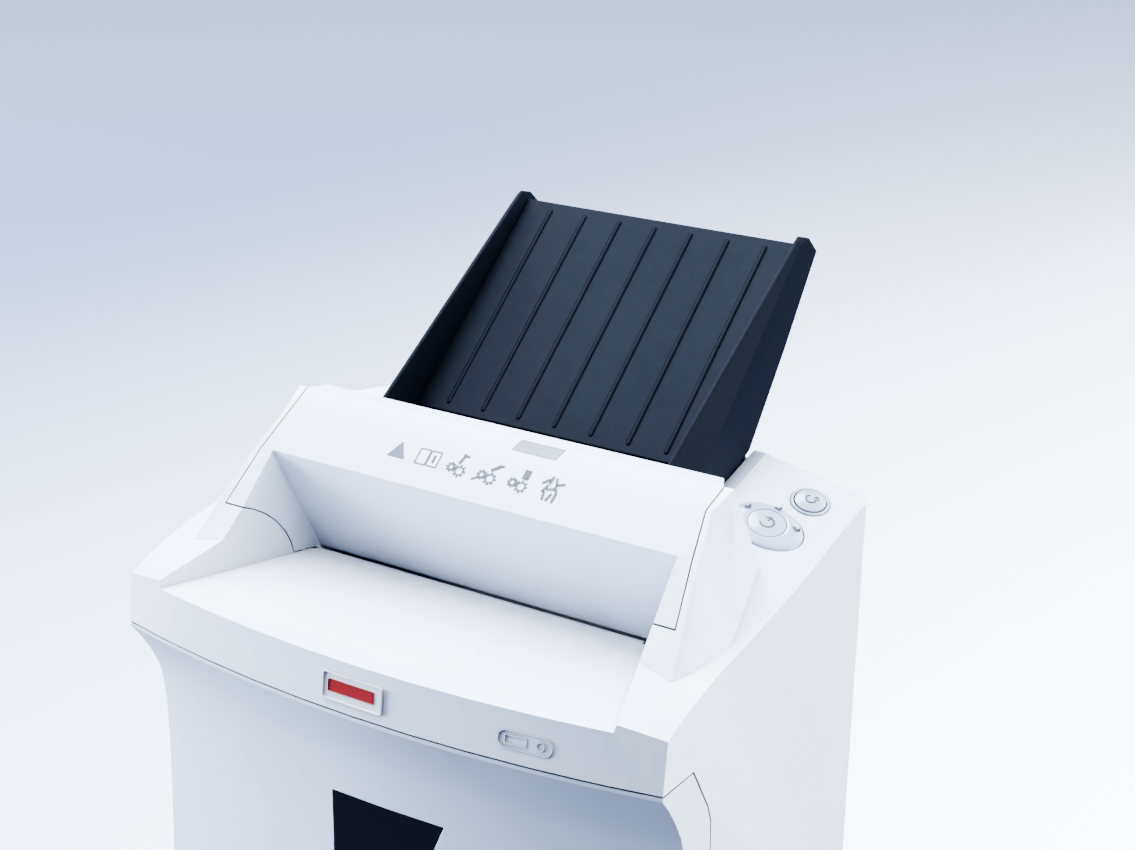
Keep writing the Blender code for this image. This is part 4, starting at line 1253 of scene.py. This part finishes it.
@dataclass
class Controls:
    """The oval power rosette with its disc, the reverse key in its ring, and their marks."""

    datum: Datum
    palette: Palette
    rosette_at: tuple[float, float] = (160.0, 184.2)
    disc_at: tuple[float, float] = (159.4, 185.0)
    key_at: tuple[float, float] = (171.0, 220.5)

    def panel(self, x: float, y: float) -> Matrix:
        """Return the control panel's plane at a place in plan."""
        across, up = Vector((1.0, 0.0, -self.datum.tilt_x)), Vector((0.0, 1.0, self.datum.tilt_y))
        return self.datum.plane((x, y, self.datum.shoulder(x, y)), across, up)

    def build(self) -> None:
        """Build the rosette, disc, ring and key."""
        self.rosette()
        self.disc()
        self.key()
        for node in ("power_bezel", "power_button", "reverse_bezel", "reverse_button"):
            LOG.info("%s is stood for", node)

    def rosette(self) -> None:
        """Make the domed oval that surrounds the power disc."""
        wide, deep = 24.0, 18.55
        shift = (self.disc_at[0] - self.rosette_at[0], self.disc_at[1] - self.rosette_at[1])
        loops = []
        for share, rise in (
            (0.0, -2.2), (0.0, -0.2), (0.015, 0.5), (0.06, 1.15), (0.2, 1.75), (0.45, 2.2), (0.75, 2.45), (0.96, 2.5),
            (1.0, 2.35), (1.0, -2.2),
        ):
            centre = (shift[0] * share * MM, shift[1] * share * MM, rise * MM)
            loops.append((centre, (wide + (12.45 - wide) * share) * MM, (deep + (12.45 - deep) * share) * MM))
        loops.append(loops[0])
        piece = Bench.loft("power_rosette", loops, 64, cap=False)
        Bench.settle(piece, self.panel(*self.rosette_at))
        Bench.crisp(piece, 40.0)
        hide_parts("power_bezel")
        dress(piece, self.palette.button, "cabinet")
        places = ((143.9, 188.5, 20.0), (158.9, 199.6, 0.0), (175.3, 191.8, -30.0))
        bar = Bench.slab("ink", (0.0042, 0.0019, MARK_DEPTH), (0, 0, 0.00235), 0.0006, MARK_EDGE)
        dot = Bench.slab("ink", (0.0017, 0.0017, MARK_DEPTH), (0.0012, 0.0022, 0.0023), 0.0007, MARK_EDGE)
        marks = Bench.copies(Bench.gather("mark", [bar, dot]), len(places))
        for mark, (x, y, turn) in zip(marks, places):
            Bench.settle(mark, self.panel(x, y) @ Matrix.Rotation(math.radians(turn), 4, "Z"))
        dress(Bench.gather("rosette_marks", marks), self.palette.dark_ink, "cabinet")

    def dome(self, name: str, radius: float, low: float, edge: float, crown: float) -> bpy.types.Object:
        """Make a round cap with a softly crowned top.

        Args:
            name: The piece's name.
            radius: Its radius, in millimetres.
            low: How far its skirt goes down.
            edge: The height of its shoulder.
            crown: The height of its middle.

        Returns:
            The cap, on the origin.
        """
        loops = [
            ((0, 0, -low * MM), radius * MM, radius * MM), ((0, 0, (edge - 0.35) * MM), radius * MM, radius * MM),
        ]
        for share in (0.985, 0.95, 0.85, 0.65, 0.4, 0.15):
            height = edge + (crown - edge) * (1.0 - share * share)
            loops.append(((0, 0, height * MM), radius * share * MM, radius * share * MM))
        return Bench.loft(name, loops, 56)

    @staticmethod
    def stem(radius: float = 0.0035, foot: float = -0.016, top: float = -0.0034) -> bpy.types.Object:
        """Make the round stem that a cap stands on."""
        return Bench.loft("stem", [((0, 0, foot), radius, radius), ((0, 0, top), radius, radius)], 24)

    def disc(self) -> None:
        """Make the power disc with its plain power mark."""
        cap = self.dome("power_disc", 12.0, 3.4, 2.25, 3.0)
        cap = Bench.gather("power_disc", [cap, self.stem()])
        Bench.settle(cap, self.panel(*self.disc_at))
        Bench.crisp(cap, 40.0)
        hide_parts("power_button")
        dress(cap, self.palette.button, "power_button")
        mark = self.open_ring(4.3, 1.15, 40.0, 320.0)
        bar = Bench.slab("ink", (0.0012, 0.0046, MARK_DEPTH), (0, 0.0034, 0), 0.0003, MARK_EDGE)
        mark = Bench.gather("power_mark", [mark, bar])
        Bench.settle(mark, self.panel(*self.disc_at) @ Matrix.Translation((0, 0, 0.00294)))
        dress(mark, self.palette.dark_ink, "power_button")

    @staticmethod
    def open_ring(radius: float, line: float, start: float, end: float) -> bpy.types.Object:
        """Make an open ring in print by spinning a short line about the middle.

        Args:
            radius: The ring's middle radius, in millimetres.
            line: The line's width.
            start: Where it begins, in degrees from the top.
            end: Where it ends.

        Returns:
            The ring, on the origin.
        """
        Bench.clear()
        bpy.ops.mesh.primitive_plane_add(size=1.0, location=(0, 0, 0))
        piece = Bench.named("ink")
        piece.scale = (line * MM, 0.0004, 1.0)
        piece.rotation_euler = (math.radians(90.0), 0.0, 0.0)
        piece.location = (radius * MM, 0, 0)
        Bench.settle(piece)
        Bench.settle(piece, Matrix.Rotation(math.radians(90.0 + start), 4, "Z"))
        bpy.ops.object.mode_set(mode="EDIT")
        bpy.ops.mesh.select_mode(type="FACE")
        bpy.ops.mesh.select_all(action="SELECT")
        bpy.ops.mesh.spin(steps=28, dupli=False, angle=math.radians(end - start), center=(0, 0, 0), axis=(0, 0, 1))
        bpy.ops.mesh.select_all(action="DESELECT")
        bpy.ops.mesh.select_mode(type="EDGE")
        bpy.ops.mesh.select_non_manifold()
        bpy.ops.mesh.edge_face_add()
        bpy.ops.object.mode_set(mode="OBJECT")
        Bench.face_out(piece)
        return piece

    def key(self) -> None:
        """Make the reverse key, its ring and its turning arrow."""
        loops = []
        for radius, rise in (
            (12.35, -2.5), (12.35, 0.2), (12.1, 0.8), (11.6, 1.15), (11.0, 1.15), (10.5, 0.8), (10.25, 0.2),
            (10.25, -2.5),
        ):
            loops.append(((0, 0, rise * MM), radius * MM, radius * MM))
        loops.append(loops[0])
        ring = Bench.loft("reverse_ring", loops, 64, cap=False)
        Bench.settle(ring, self.panel(*self.key_at))
        Bench.crisp(ring, 40.0)
        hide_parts("reverse_bezel")
        dress(ring, self.palette.button, "cabinet")
        cap = self.dome("reverse_key", 9.8, 3.4, 1.6, 3.0)
        cap = Bench.gather("reverse_key", [cap, self.stem()])
        Bench.settle(cap, self.panel(*self.key_at))
        Bench.crisp(cap, 40.0)
        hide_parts("reverse_button")
        dress(cap, self.palette.button, "reverse_button")
        arc = self.open_ring(3.2, 1.0, -60.0, 200.0)
        barb, other = Bench.copies(Bench.slab("ink", (0.0031, 0.0009, MARK_DEPTH), (0, 0, 0), 0.0003, MARK_EDGE), 2)
        Bench.settle(barb, Matrix.Translation((0.0019, 0.0031, 0)) @ Matrix.Rotation(math.radians(55.0), 4, "Z"))
        Bench.settle(other, Matrix.Translation((0.0036, 0.0030, 0)) @ Matrix.Rotation(math.radians(140.0), 4, "Z"))
        mark = Bench.gather("reverse_mark", [arc, barb, other])
        Bench.settle(mark, self.panel(*self.key_at) @ Matrix.Translation((0, 0, 0.00292)))
        dress(mark, self.palette.dark_ink, "reverse_button")


@dataclass
class PaperRack:
    """The dark feed floor, its sloping rest and the two side guides."""

    datum: Datum
    palette: Palette
    slope_deg: float = 41.0
    foot: tuple[float, float] = (151.0, 82.0)
    rib_places: tuple[float, ...] = (-84.0, -56.0, -28.0, 0.0, 28.0, 56.0, 84.0)
    rib_size: Place = (0.0032, 0.164, 0.0016)
    rib_up: float = 134.0

    def build(self) -> None:
        """Build the guides, rest, floor and rollers."""
        for side in Side:
            name = side.name.lower()
            arm = Bench.recast("support_arm_" + name, 0.0009, 3, 14.0)
            dress(arm, self.palette.black, "cabinet")
            roller = Bench.recast("feed_roller_" + name, 0.0009, 3, 40.0)
            dress(roller, self.palette.rubber, "feed_rollers")
        rest = Bench.recast("support_rest", 0.0007, 2)
        dress(rest, self.palette.black, "cabinet")
        floor = Bench.recast("hopper_floor", 0.0006, 2)
        dress(floor, self.palette.dark, "cabinet")
        gate = Bench.recast("paper_gate", 0.0006, 2)
        dress(gate, self.palette.dark, "cabinet")
        self.ribs()
        for side in Side:
            self.collar(side)

    def collar(self, side: Side) -> None:
        """Close the shoulder up to the arm with a thin shaped collar.

        Args:
            side: Which arm it belongs to.
        """
        name = "rack_collar_" + side.name.lower()
        Bench.clear()
        bpy.ops.mesh.primitive_plane_add(size=1.0, location=(0, 0, 0))
        piece = Bench.named(name)
        bpy.ops.object.mode_set(mode="EDIT")
        bpy.ops.mesh.select_mode(type="VERT")
        bpy.ops.mesh.select_all(action="SELECT")
        bpy.ops.mesh.subdivide(number_cuts=2)
        bpy.ops.object.mode_set(mode="OBJECT")
        inner, ledge, lift = 120.4, 130.0, 0.05
        outer = (149.6, 130.2, 130.2, 130.2)
        rows = (149.7, 160.0, 240.0, 261.5)
        heights = (None, None, None, 96.2)
        for vertex in piece.data.vertices:
            column, row = (round((value + 0.5) * 3.0) for value in (vertex.co.x, vertex.co.y))
            x = inner + (outer[row] - inner) * column / 3.0
            z = heights[row] or self.datum.shoulder(max(x, ledge), rows[row])
            vertex.co = self.datum.at(side.value * x, rows[row], z + lift)
        wall = piece.modifiers.new("thickness", "SOLIDIFY")
        wall.thickness = 0.0012
        wall.offset = 0.0
        Bench.pick(piece)
        bpy.ops.object.modifier_apply(modifier=wall.name)
        Bench.face_out(piece)
        Bench.round_off(piece, 0.0004, 2, 40.0)
        dress(piece, self.palette.cover, "cabinet")

    def on_slope(self, x: float, along: float) -> Matrix:
        """Return the rest's plane at a place across and up it, in millimetres.

        Args:
            x: Across.
            along: Up the slope from its foot.

        Returns:
            The matrix of that place.
        """
        angle = math.radians(self.slope_deg)
        y = self.foot[0] + along * math.cos(angle)
        z = self.foot[1] + along * math.sin(angle)
        return self.datum.plane((x, y, z), Vector((1, 0, 0)), Vector((0, math.cos(angle), math.sin(angle))))

    def ribs(self) -> None:
        """Mould long low ribs on the rest, so that paper slides off it easily."""
        ribs = Bench.copies(Bench.slab("rib", self.rib_size, (0, 0, 0), 0.0014, 0.0005), len(self.rib_places))
        for rib, x in zip(ribs, self.rib_places):
            Bench.settle(rib, self.on_slope(x, self.rib_up))
        dress(Bench.gather("rest_ribs", ribs), self.palette.black, "cabinet")


@dataclass
class Cabinet:
    """The lower box, its rear cover, mains inlet and switch, and the base."""

    datum: Datum
    palette: Palette
    screw_radius: float = 0.0038

    def build(self) -> None:
        """Build the box and what is on its back."""
        for node, width, finish, slot in (
            ("cabinet", 0.0009, self.palette.cover, "white_plastic"),
            ("rear_cover", 0.0007, self.palette.cover, "white_plastic"),
            ("base_plate", 0.0012, self.palette.dark, "dark_plastic"),
            ("mains_inlet", 0.0004, self.palette.black, "black_plastic"),
            ("switch_frame", 0.0004, self.palette.black, "black_plastic"),
            ("bin_guide_left", 0.0008, self.palette.inner, "inner_plastic"),
            ("bin_guide_right", 0.0008, self.palette.inner, "inner_plastic"),
        ):
            dress(Bench.recast(node, width, 2), finish, "cabinet")
        rocker = Bench.recast("switch_rocker", 0.0005, 3)
        dress(rocker, self.palette.dark, "switch_rocker")
        self.screws()

    def screws(self) -> None:
        """Set four pan-head screws in the rear cover, each with a cross recess."""
        low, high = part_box("rear_cover")
        in_x, in_z = 0.010, 0.012
        corners = [(x, z) for z in (low.z + in_z, high.z - in_z) for x in (low.x + in_x, high.x - in_x)]
        heads = Bench.copies(self.screw_head(), len(corners))
        for index, (head, (x, z)) in enumerate(zip(heads, corners)):
            Bench.settle(
                head, Matrix.Translation((x, high.y - 0.0012, z)) @ Matrix.Rotation(math.radians(-90.0), 4, "X"),
            )
            head = Bench.gather(f"rear_screw_{index + 1}", [head])
            Bench.crisp(head, 30.0)
            dress(head, self.palette.plated, "cabinet")

    def screw_head(self) -> bpy.types.Object:
        """Turn one screw head and sink its cross recess.

        Returns:
            The head, on the origin, with its face along +Z.
        """
        r = self.screw_radius
        profile = ((1.0, -0.0006), (1.0, 0.0006), (0.86, 0.0013), (0.55, 0.0017))
        head = Bench.loft("screw", [((0, 0, z), r * share, r * share) for share, z in profile], 24)
        for turn in (0.0, 90.0):
            tool = Bench.slab("recess", (r * 1.1, 0.0009, 0.0016), (0, 0, 0.0018), 0.0, 0.0001)
            Bench.settle(tool, Matrix.Rotation(math.radians(turn), 4, "Z"))
            Bench.pick(head)
            slot = head.modifiers.new("recess", "BOOLEAN")
            slot.operation = "DIFFERENCE"
            slot.solver = "EXACT"
            slot.object = tool
            bpy.ops.object.modifier_apply(modifier=slot.name)
            bpy.data.objects.remove(tool)
        return head


@dataclass
class Bin:
    """The pull-out bin with its shaped front and smoked window."""

    datum: Datum
    palette: Palette

    def build(self) -> None:
        """Build the front, window and box."""
        front = Bench.recast("bin_front", 0.0010, 3, 24.0, 0.2)
        dress(front, self.palette.cover, "bin")
        window = Bench.recast("bin_window", 0.0005, 2)
        dress(window, self.palette.smoke, "bin")
        body = Bench.recast("bin_body", 0.0009, 2)
        dress(body, self.palette.inner, "bin")


@dataclass
class Castors:
    """Four swivel castors: plate, fork, tyre and hub."""

    datum: Datum
    palette: Palette
    places: tuple[str, ...] = ("front_left", "front_right", "rear_left", "rear_right")
    tyre_profile: tuple[tuple[float, float], ...] = (
        (0.66, -0.94), (0.84, -0.94), (0.94, -0.78), (0.985, -0.5), (1.0, -0.2), (1.0, 0.2),
        (0.985, 0.5), (0.94, 0.78), (0.84, 0.94), (0.66, 0.94), (0.66, -0.94),
    )
    hub_profile: tuple[tuple[float, float], ...] = (
        (0.17, -1.0), (0.3, -1.0), (0.34, -0.7), (0.56, -0.7), (0.6, -0.98), (0.655, -0.98), (0.655, 0.98),
        (0.6, 0.98), (0.56, 0.7), (0.34, 0.7), (0.3, 1.0), (0.17, 1.0), (0.17, -1.0),
    )

    def build(self) -> None:
        """Build the plates and forks, and one tyre and hub that are copied to each."""
        for place in self.places:
            dress(Bench.recast("castor_plate_" + place, 0.0004, 2), self.palette.plated, "cabinet")
            fork = Bench.recast("castor_fork_" + place, 0.0004, 2)
            dress(fork, self.palette.plated, "castor_fork_" + place)
        tyres = Bench.copies(self.turned("castor_tyre", self.tyre_profile, 48), len(self.places))
        hubs = Bench.copies(self.turned("castor_hub", self.hub_profile, 40), len(self.places))
        for place, tyre, hub in zip(self.places, tyres, hubs):
            self.wheel(place, tyre, hub)

    def turned(self, name: str, profile: Sequence[tuple[float, float]], corners: int) -> bpy.types.Object:
        """Turn a ring from its profile, to the size of the wheels.

        Args:
            name: The piece's name.
            profile: Its radius and its place along the axle, as shares of the wheel's radius and half width.
            corners: How many corners it has round it.

        Returns:
            The ring, on the origin, with its axle along Z.
        """
        low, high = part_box("castor_wheel_" + self.places[0])
        radius, half = (high.z - low.z) / 2, (high.x - low.x) / 2
        loops = [((0, 0, along * half), share * radius, share * radius) for share, along in profile]
        return Bench.loft(name, loops, corners, cap=False)

    def wheel(self, place: str, tyre: bpy.types.Object, hub: bpy.types.Object) -> None:
        """Set one wheel on its axle: a crowned tyre, and a hub with a raised rim.

        Args:
            place: Which castor it belongs to.
            tyre: Its tyre, on the origin.
            hub: Its hub, on the origin.
        """
        low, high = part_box("castor_wheel_" + place)
        turn = Matrix.Translation((low + high) / 2) @ Matrix.Rotation(math.radians(90.0), 4, "Y")
        for piece, name, sharp in ((tyre, "castor_tyre_", 40.0), (hub, "castor_hub_", 30.0)):
            Bench.settle(piece, turn)
            Bench.named(name + place)
            Bench.crisp(piece, sharp)
        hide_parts("castor_wheel_" + place)
        dress(tyre, self.palette.rubber, "castor_wheel_" + place)
        dress(hub, self.palette.dark, "castor_wheel_" + place)


@dataclass
class Works:
    """The inner works, whose CAD shapes stay and take their finishes."""

    palette: Palette

    def build(self) -> None:
        """Give each remaining CAD node the material of its slot."""
        finishes = {
            "white_plastic": self.palette.cover,
            "inner_plastic": self.palette.inner,
            "black_plastic": self.palette.black,
            "dark_plastic": self.palette.dark,
            "button_plastic": self.palette.button,
            "smoked_window": self.palette.smoke,
            "plated_steel": self.palette.plated,
            "bright_steel": self.palette.bright,
            "hard_steel": self.palette.hard,
            "gear_nylon": self.palette.nylon,
            "roller_rubber": self.palette.rubber,
            "circuit_board": self.palette.laminate,
        }
        for part in frame["record"]["subparts"]:
            node = frame["nodes"][part["node"]]
            node.data.materials.clear()
            node.data.materials.append(finishes[part["material_slot"]])
            LOG.info("%s keeps its shape, in %s", part["node"], part["material_slot"])


# ---------------------------------------------------------------- the studio
@dataclass
class Studio:
    """A pale floor with painted light and shade for the camera, soft lights and the camera."""

    camera_at: Place = (0.68361, -1.01825, 1.04448)
    pitch: float = 19.792
    yaw: float = 32.608
    roll: float = 0.867
    lens: float = 65.41
    # The floor's colours and glows are what the camera sees: a shade colour painted in to darken it to the far left, a
    # painted glow on the right, and a painted glow that grows with distance.
    floor_paint: Colour = (0.88, 0.91, 0.95)
    floor_shade: Colour = (0.10, 0.135, 0.22)
    floor_bounce: Colour = (0.02, 0.03, 0.05)
    glow: Colour = (3.6, 3.75, 4.0)
    far_glow: Colour = (0.86, 1.06, 1.62)
    ambient: Colour = (0.08, 0.13, 0.25)
    far_glow_start: float = 1.0
    far_glow_full: float = 5.2

    def build(self) -> None:
        """Build the floor, lights and camera."""
        self.floor()
        self.sky()
        self.lamp("back_right_panel", (1.6, 2.5, 2.6), (0, 0, 0.5), 2.6, 240.0, (0.86, 0.92, 1.0))
        self.lamp("back_top_panel", (-1.3, 1.1, 3.1), (0, 0, 0.5), 2.0, 720.0, (0.78, 0.87, 1.0))
        self.lamp("front_top_panel", (-0.8, -0.4, 3.3), (0, 0, 0.5), 1.8, 400.0, (0.78, 0.87, 1.0))
        self.lamp("left_panel", (-3.9, -1.15, 0.9), (0, 0, 0.5), 1.6, 1350.0, (0.72, 0.83, 1.0))
        self.lamp("right_panel", (3.5, 0.7, 0.75), (0.1, 0, 0.4), 1.8, 640.0, (0.82, 0.90, 1.0))
        self.camera()

    def ramp(self, finish: Finish, value: bpy.types.NodeSocket, low: float, high: float) -> bpy.types.NodeSocket:
        """Return a soft step of a length or place.

        Args:
            finish: The material it is for.
            value: The length or place, in metres.
            low: Where it starts.
            high: Where it is full.

        Returns:
            A mask from 0 to 1.
        """
        step = finish.tree.nodes.new("ShaderNodeMapRange")
        step.interpolation_type = "SMOOTHSTEP"
        step.inputs["From Min"].default_value = low
        step.inputs["From Max"].default_value = high
        finish.tree.links.new(value, step.inputs["Value"])
        return step.outputs["Result"]

    def floor(self) -> None:
        """Lay the floor. Seen by the camera, it is painted pale on the right and by the machine and darker to the far
        left, which is a painted shade. It also glows with painted light: fully on the right and, on the left, more with
        distance. Other rays see the dark bounce colour.
        """
        Bench.clear()
        bpy.ops.mesh.primitive_plane_add(size=60.0, location=(0, 0, 0))
        floor = Bench.named("studio_floor")
        finish = Finish("studio_floor_paint")
        path = finish.tree.nodes.new("ShaderNodeLightPath")
        place = finish.tree.nodes.new("ShaderNodeSeparateXYZ")
        finish.tree.links.new(finish.coordinate, place.inputs[0])
        reach = finish.tree.nodes.new("ShaderNodeVectorMath")
        reach.operation = "LENGTH"
        finish.tree.links.new(finish.coordinate, reach.inputs[0])
        # painted shade: the floor darkens towards the far left
        paint = finish.blend(self.ramp(finish, place.outputs["X"], -2.5, 0.9), self.floor_shade, self.floor_paint)
        colour = finish.blend(path.outputs["Is Camera Ray"], self.floor_bounce, paint)
        finish.tree.links.new(colour, finish.shader.inputs["Base Color"])
        # painted light: a camera-only glow that grows with distance and is full on the right
        far_glow = finish.blend(
            self.ramp(finish, reach.outputs["Value"], self.far_glow_start, self.far_glow_full), (0.0, 0.0, 0.0), self.far_glow,
        )
        light = finish.blend(self.ramp(finish, place.outputs["X"], -0.9, 0.5), far_glow, self.glow)
        seen = finish.blend(path.outputs["Is Camera Ray"], (0.0, 0.0, 0.0), light)
        finish.tree.links.new(seen, finish.shader.inputs["Emission Color"])
        finish.shader.inputs["Emission Strength"].default_value = 1.0
        finish.shader.inputs["Roughness"].default_value = 0.9
        finish.shader.inputs["Specular IOR Level"].default_value = 0.05
        floor.data.materials.append(finish.material)
        floor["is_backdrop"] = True

    def sky(self) -> None:
        """Surround the room with a dim cool light; the camera sees it in the colour of the far floor's painted glow."""
        world = bpy.data.worlds.new("studio_world")
        world.use_nodes = True
        tree = world.node_tree
        path = tree.nodes.new("ShaderNodeLightPath")
        mix = tree.nodes.new("ShaderNodeMix")
        mix.data_type = "RGBA"
        mix.inputs[6].default_value = (*self.ambient, 1.0)
        mix.inputs[7].default_value = (*self.far_glow, 1.0)
        tree.links.new(path.outputs["Is Camera Ray"], mix.inputs["Factor"])
        tree.links.new(mix.outputs[2], tree.nodes["Background"].inputs["Color"])
        bpy.context.scene.world = world

    def lamp(self, name: str, place: Place, target: Place, size: float, power: float, colour: Colour) -> None:
        """Hang one soft square light.

        Args:
            name: The light's name.
            place: Where it hangs.
            target: What it points at.
            size: Its side.
            power: Its power in watts.
            colour: Its colour.
        """
        data = bpy.data.lights.new(name, "AREA")
        data.shape = "SQUARE"
        data.size = size
        data.energy = power
        data.color = colour
        lamp = bpy.data.objects.new(name, data)
        lamp.location = place
        lamp.rotation_euler = (Vector(target) - Vector(place)).to_track_quat("-Z", "Y").to_euler()
        bpy.context.scene.collection.objects.link(lamp)

    def camera(self) -> None:
        """Set the camera by its pitch, yaw and roll."""
        pitch, yaw, roll = (math.radians(v) for v in (self.pitch, self.yaw, self.roll))
        ahead = Vector((-math.sin(yaw) * math.cos(pitch), math.cos(yaw) * math.cos(pitch), -math.sin(pitch)))
        level = Vector((math.cos(yaw), math.sin(yaw), 0.0))
        upright = level.cross(ahead)
        right = level * math.cos(roll) + upright * math.sin(roll)
        up = upright * math.cos(roll) - level * math.sin(roll)
        matrix = Matrix.Identity(4)
        matrix.col[0][:3], matrix.col[1][:3], matrix.col[2][:3] = right, up, -ahead
        matrix.translation = Vector(self.camera_at)
        data = bpy.data.cameras.new("studio_camera")
        data.lens = self.lens
        data.sensor_width = 36.0
        data.clip_end = 200.0
        camera = bpy.data.objects.new("studio_camera", data)
        bpy.context.scene.collection.objects.link(camera)
        camera.matrix_world = matrix
        bpy.context.scene.camera = camera


def keep_sizes(after: tuple[Vector, Vector]) -> None:
    """Take the visual model's box and do nothing with it; nothing is written.
    """
    import json


def main() -> None:
    """Build the machine in order, then the studio."""
    logging.basicConfig(level=logging.INFO, format="%(name)s: %(message)s")
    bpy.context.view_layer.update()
    Bench.clear()
    datum = Datum.from_frame()
    palette = Palette()
    Works(palette).build()
    HeadShell(datum, palette).build()
    Controls(datum, palette).build()
    PaperRack(datum, palette).build()
    Cabinet(datum, palette).build()
    Bin(datum, palette).build()
    Castors(datum, palette).build()
    Studio().build()
    keep_sizes(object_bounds())


if __name__ == "__main__":
    main()
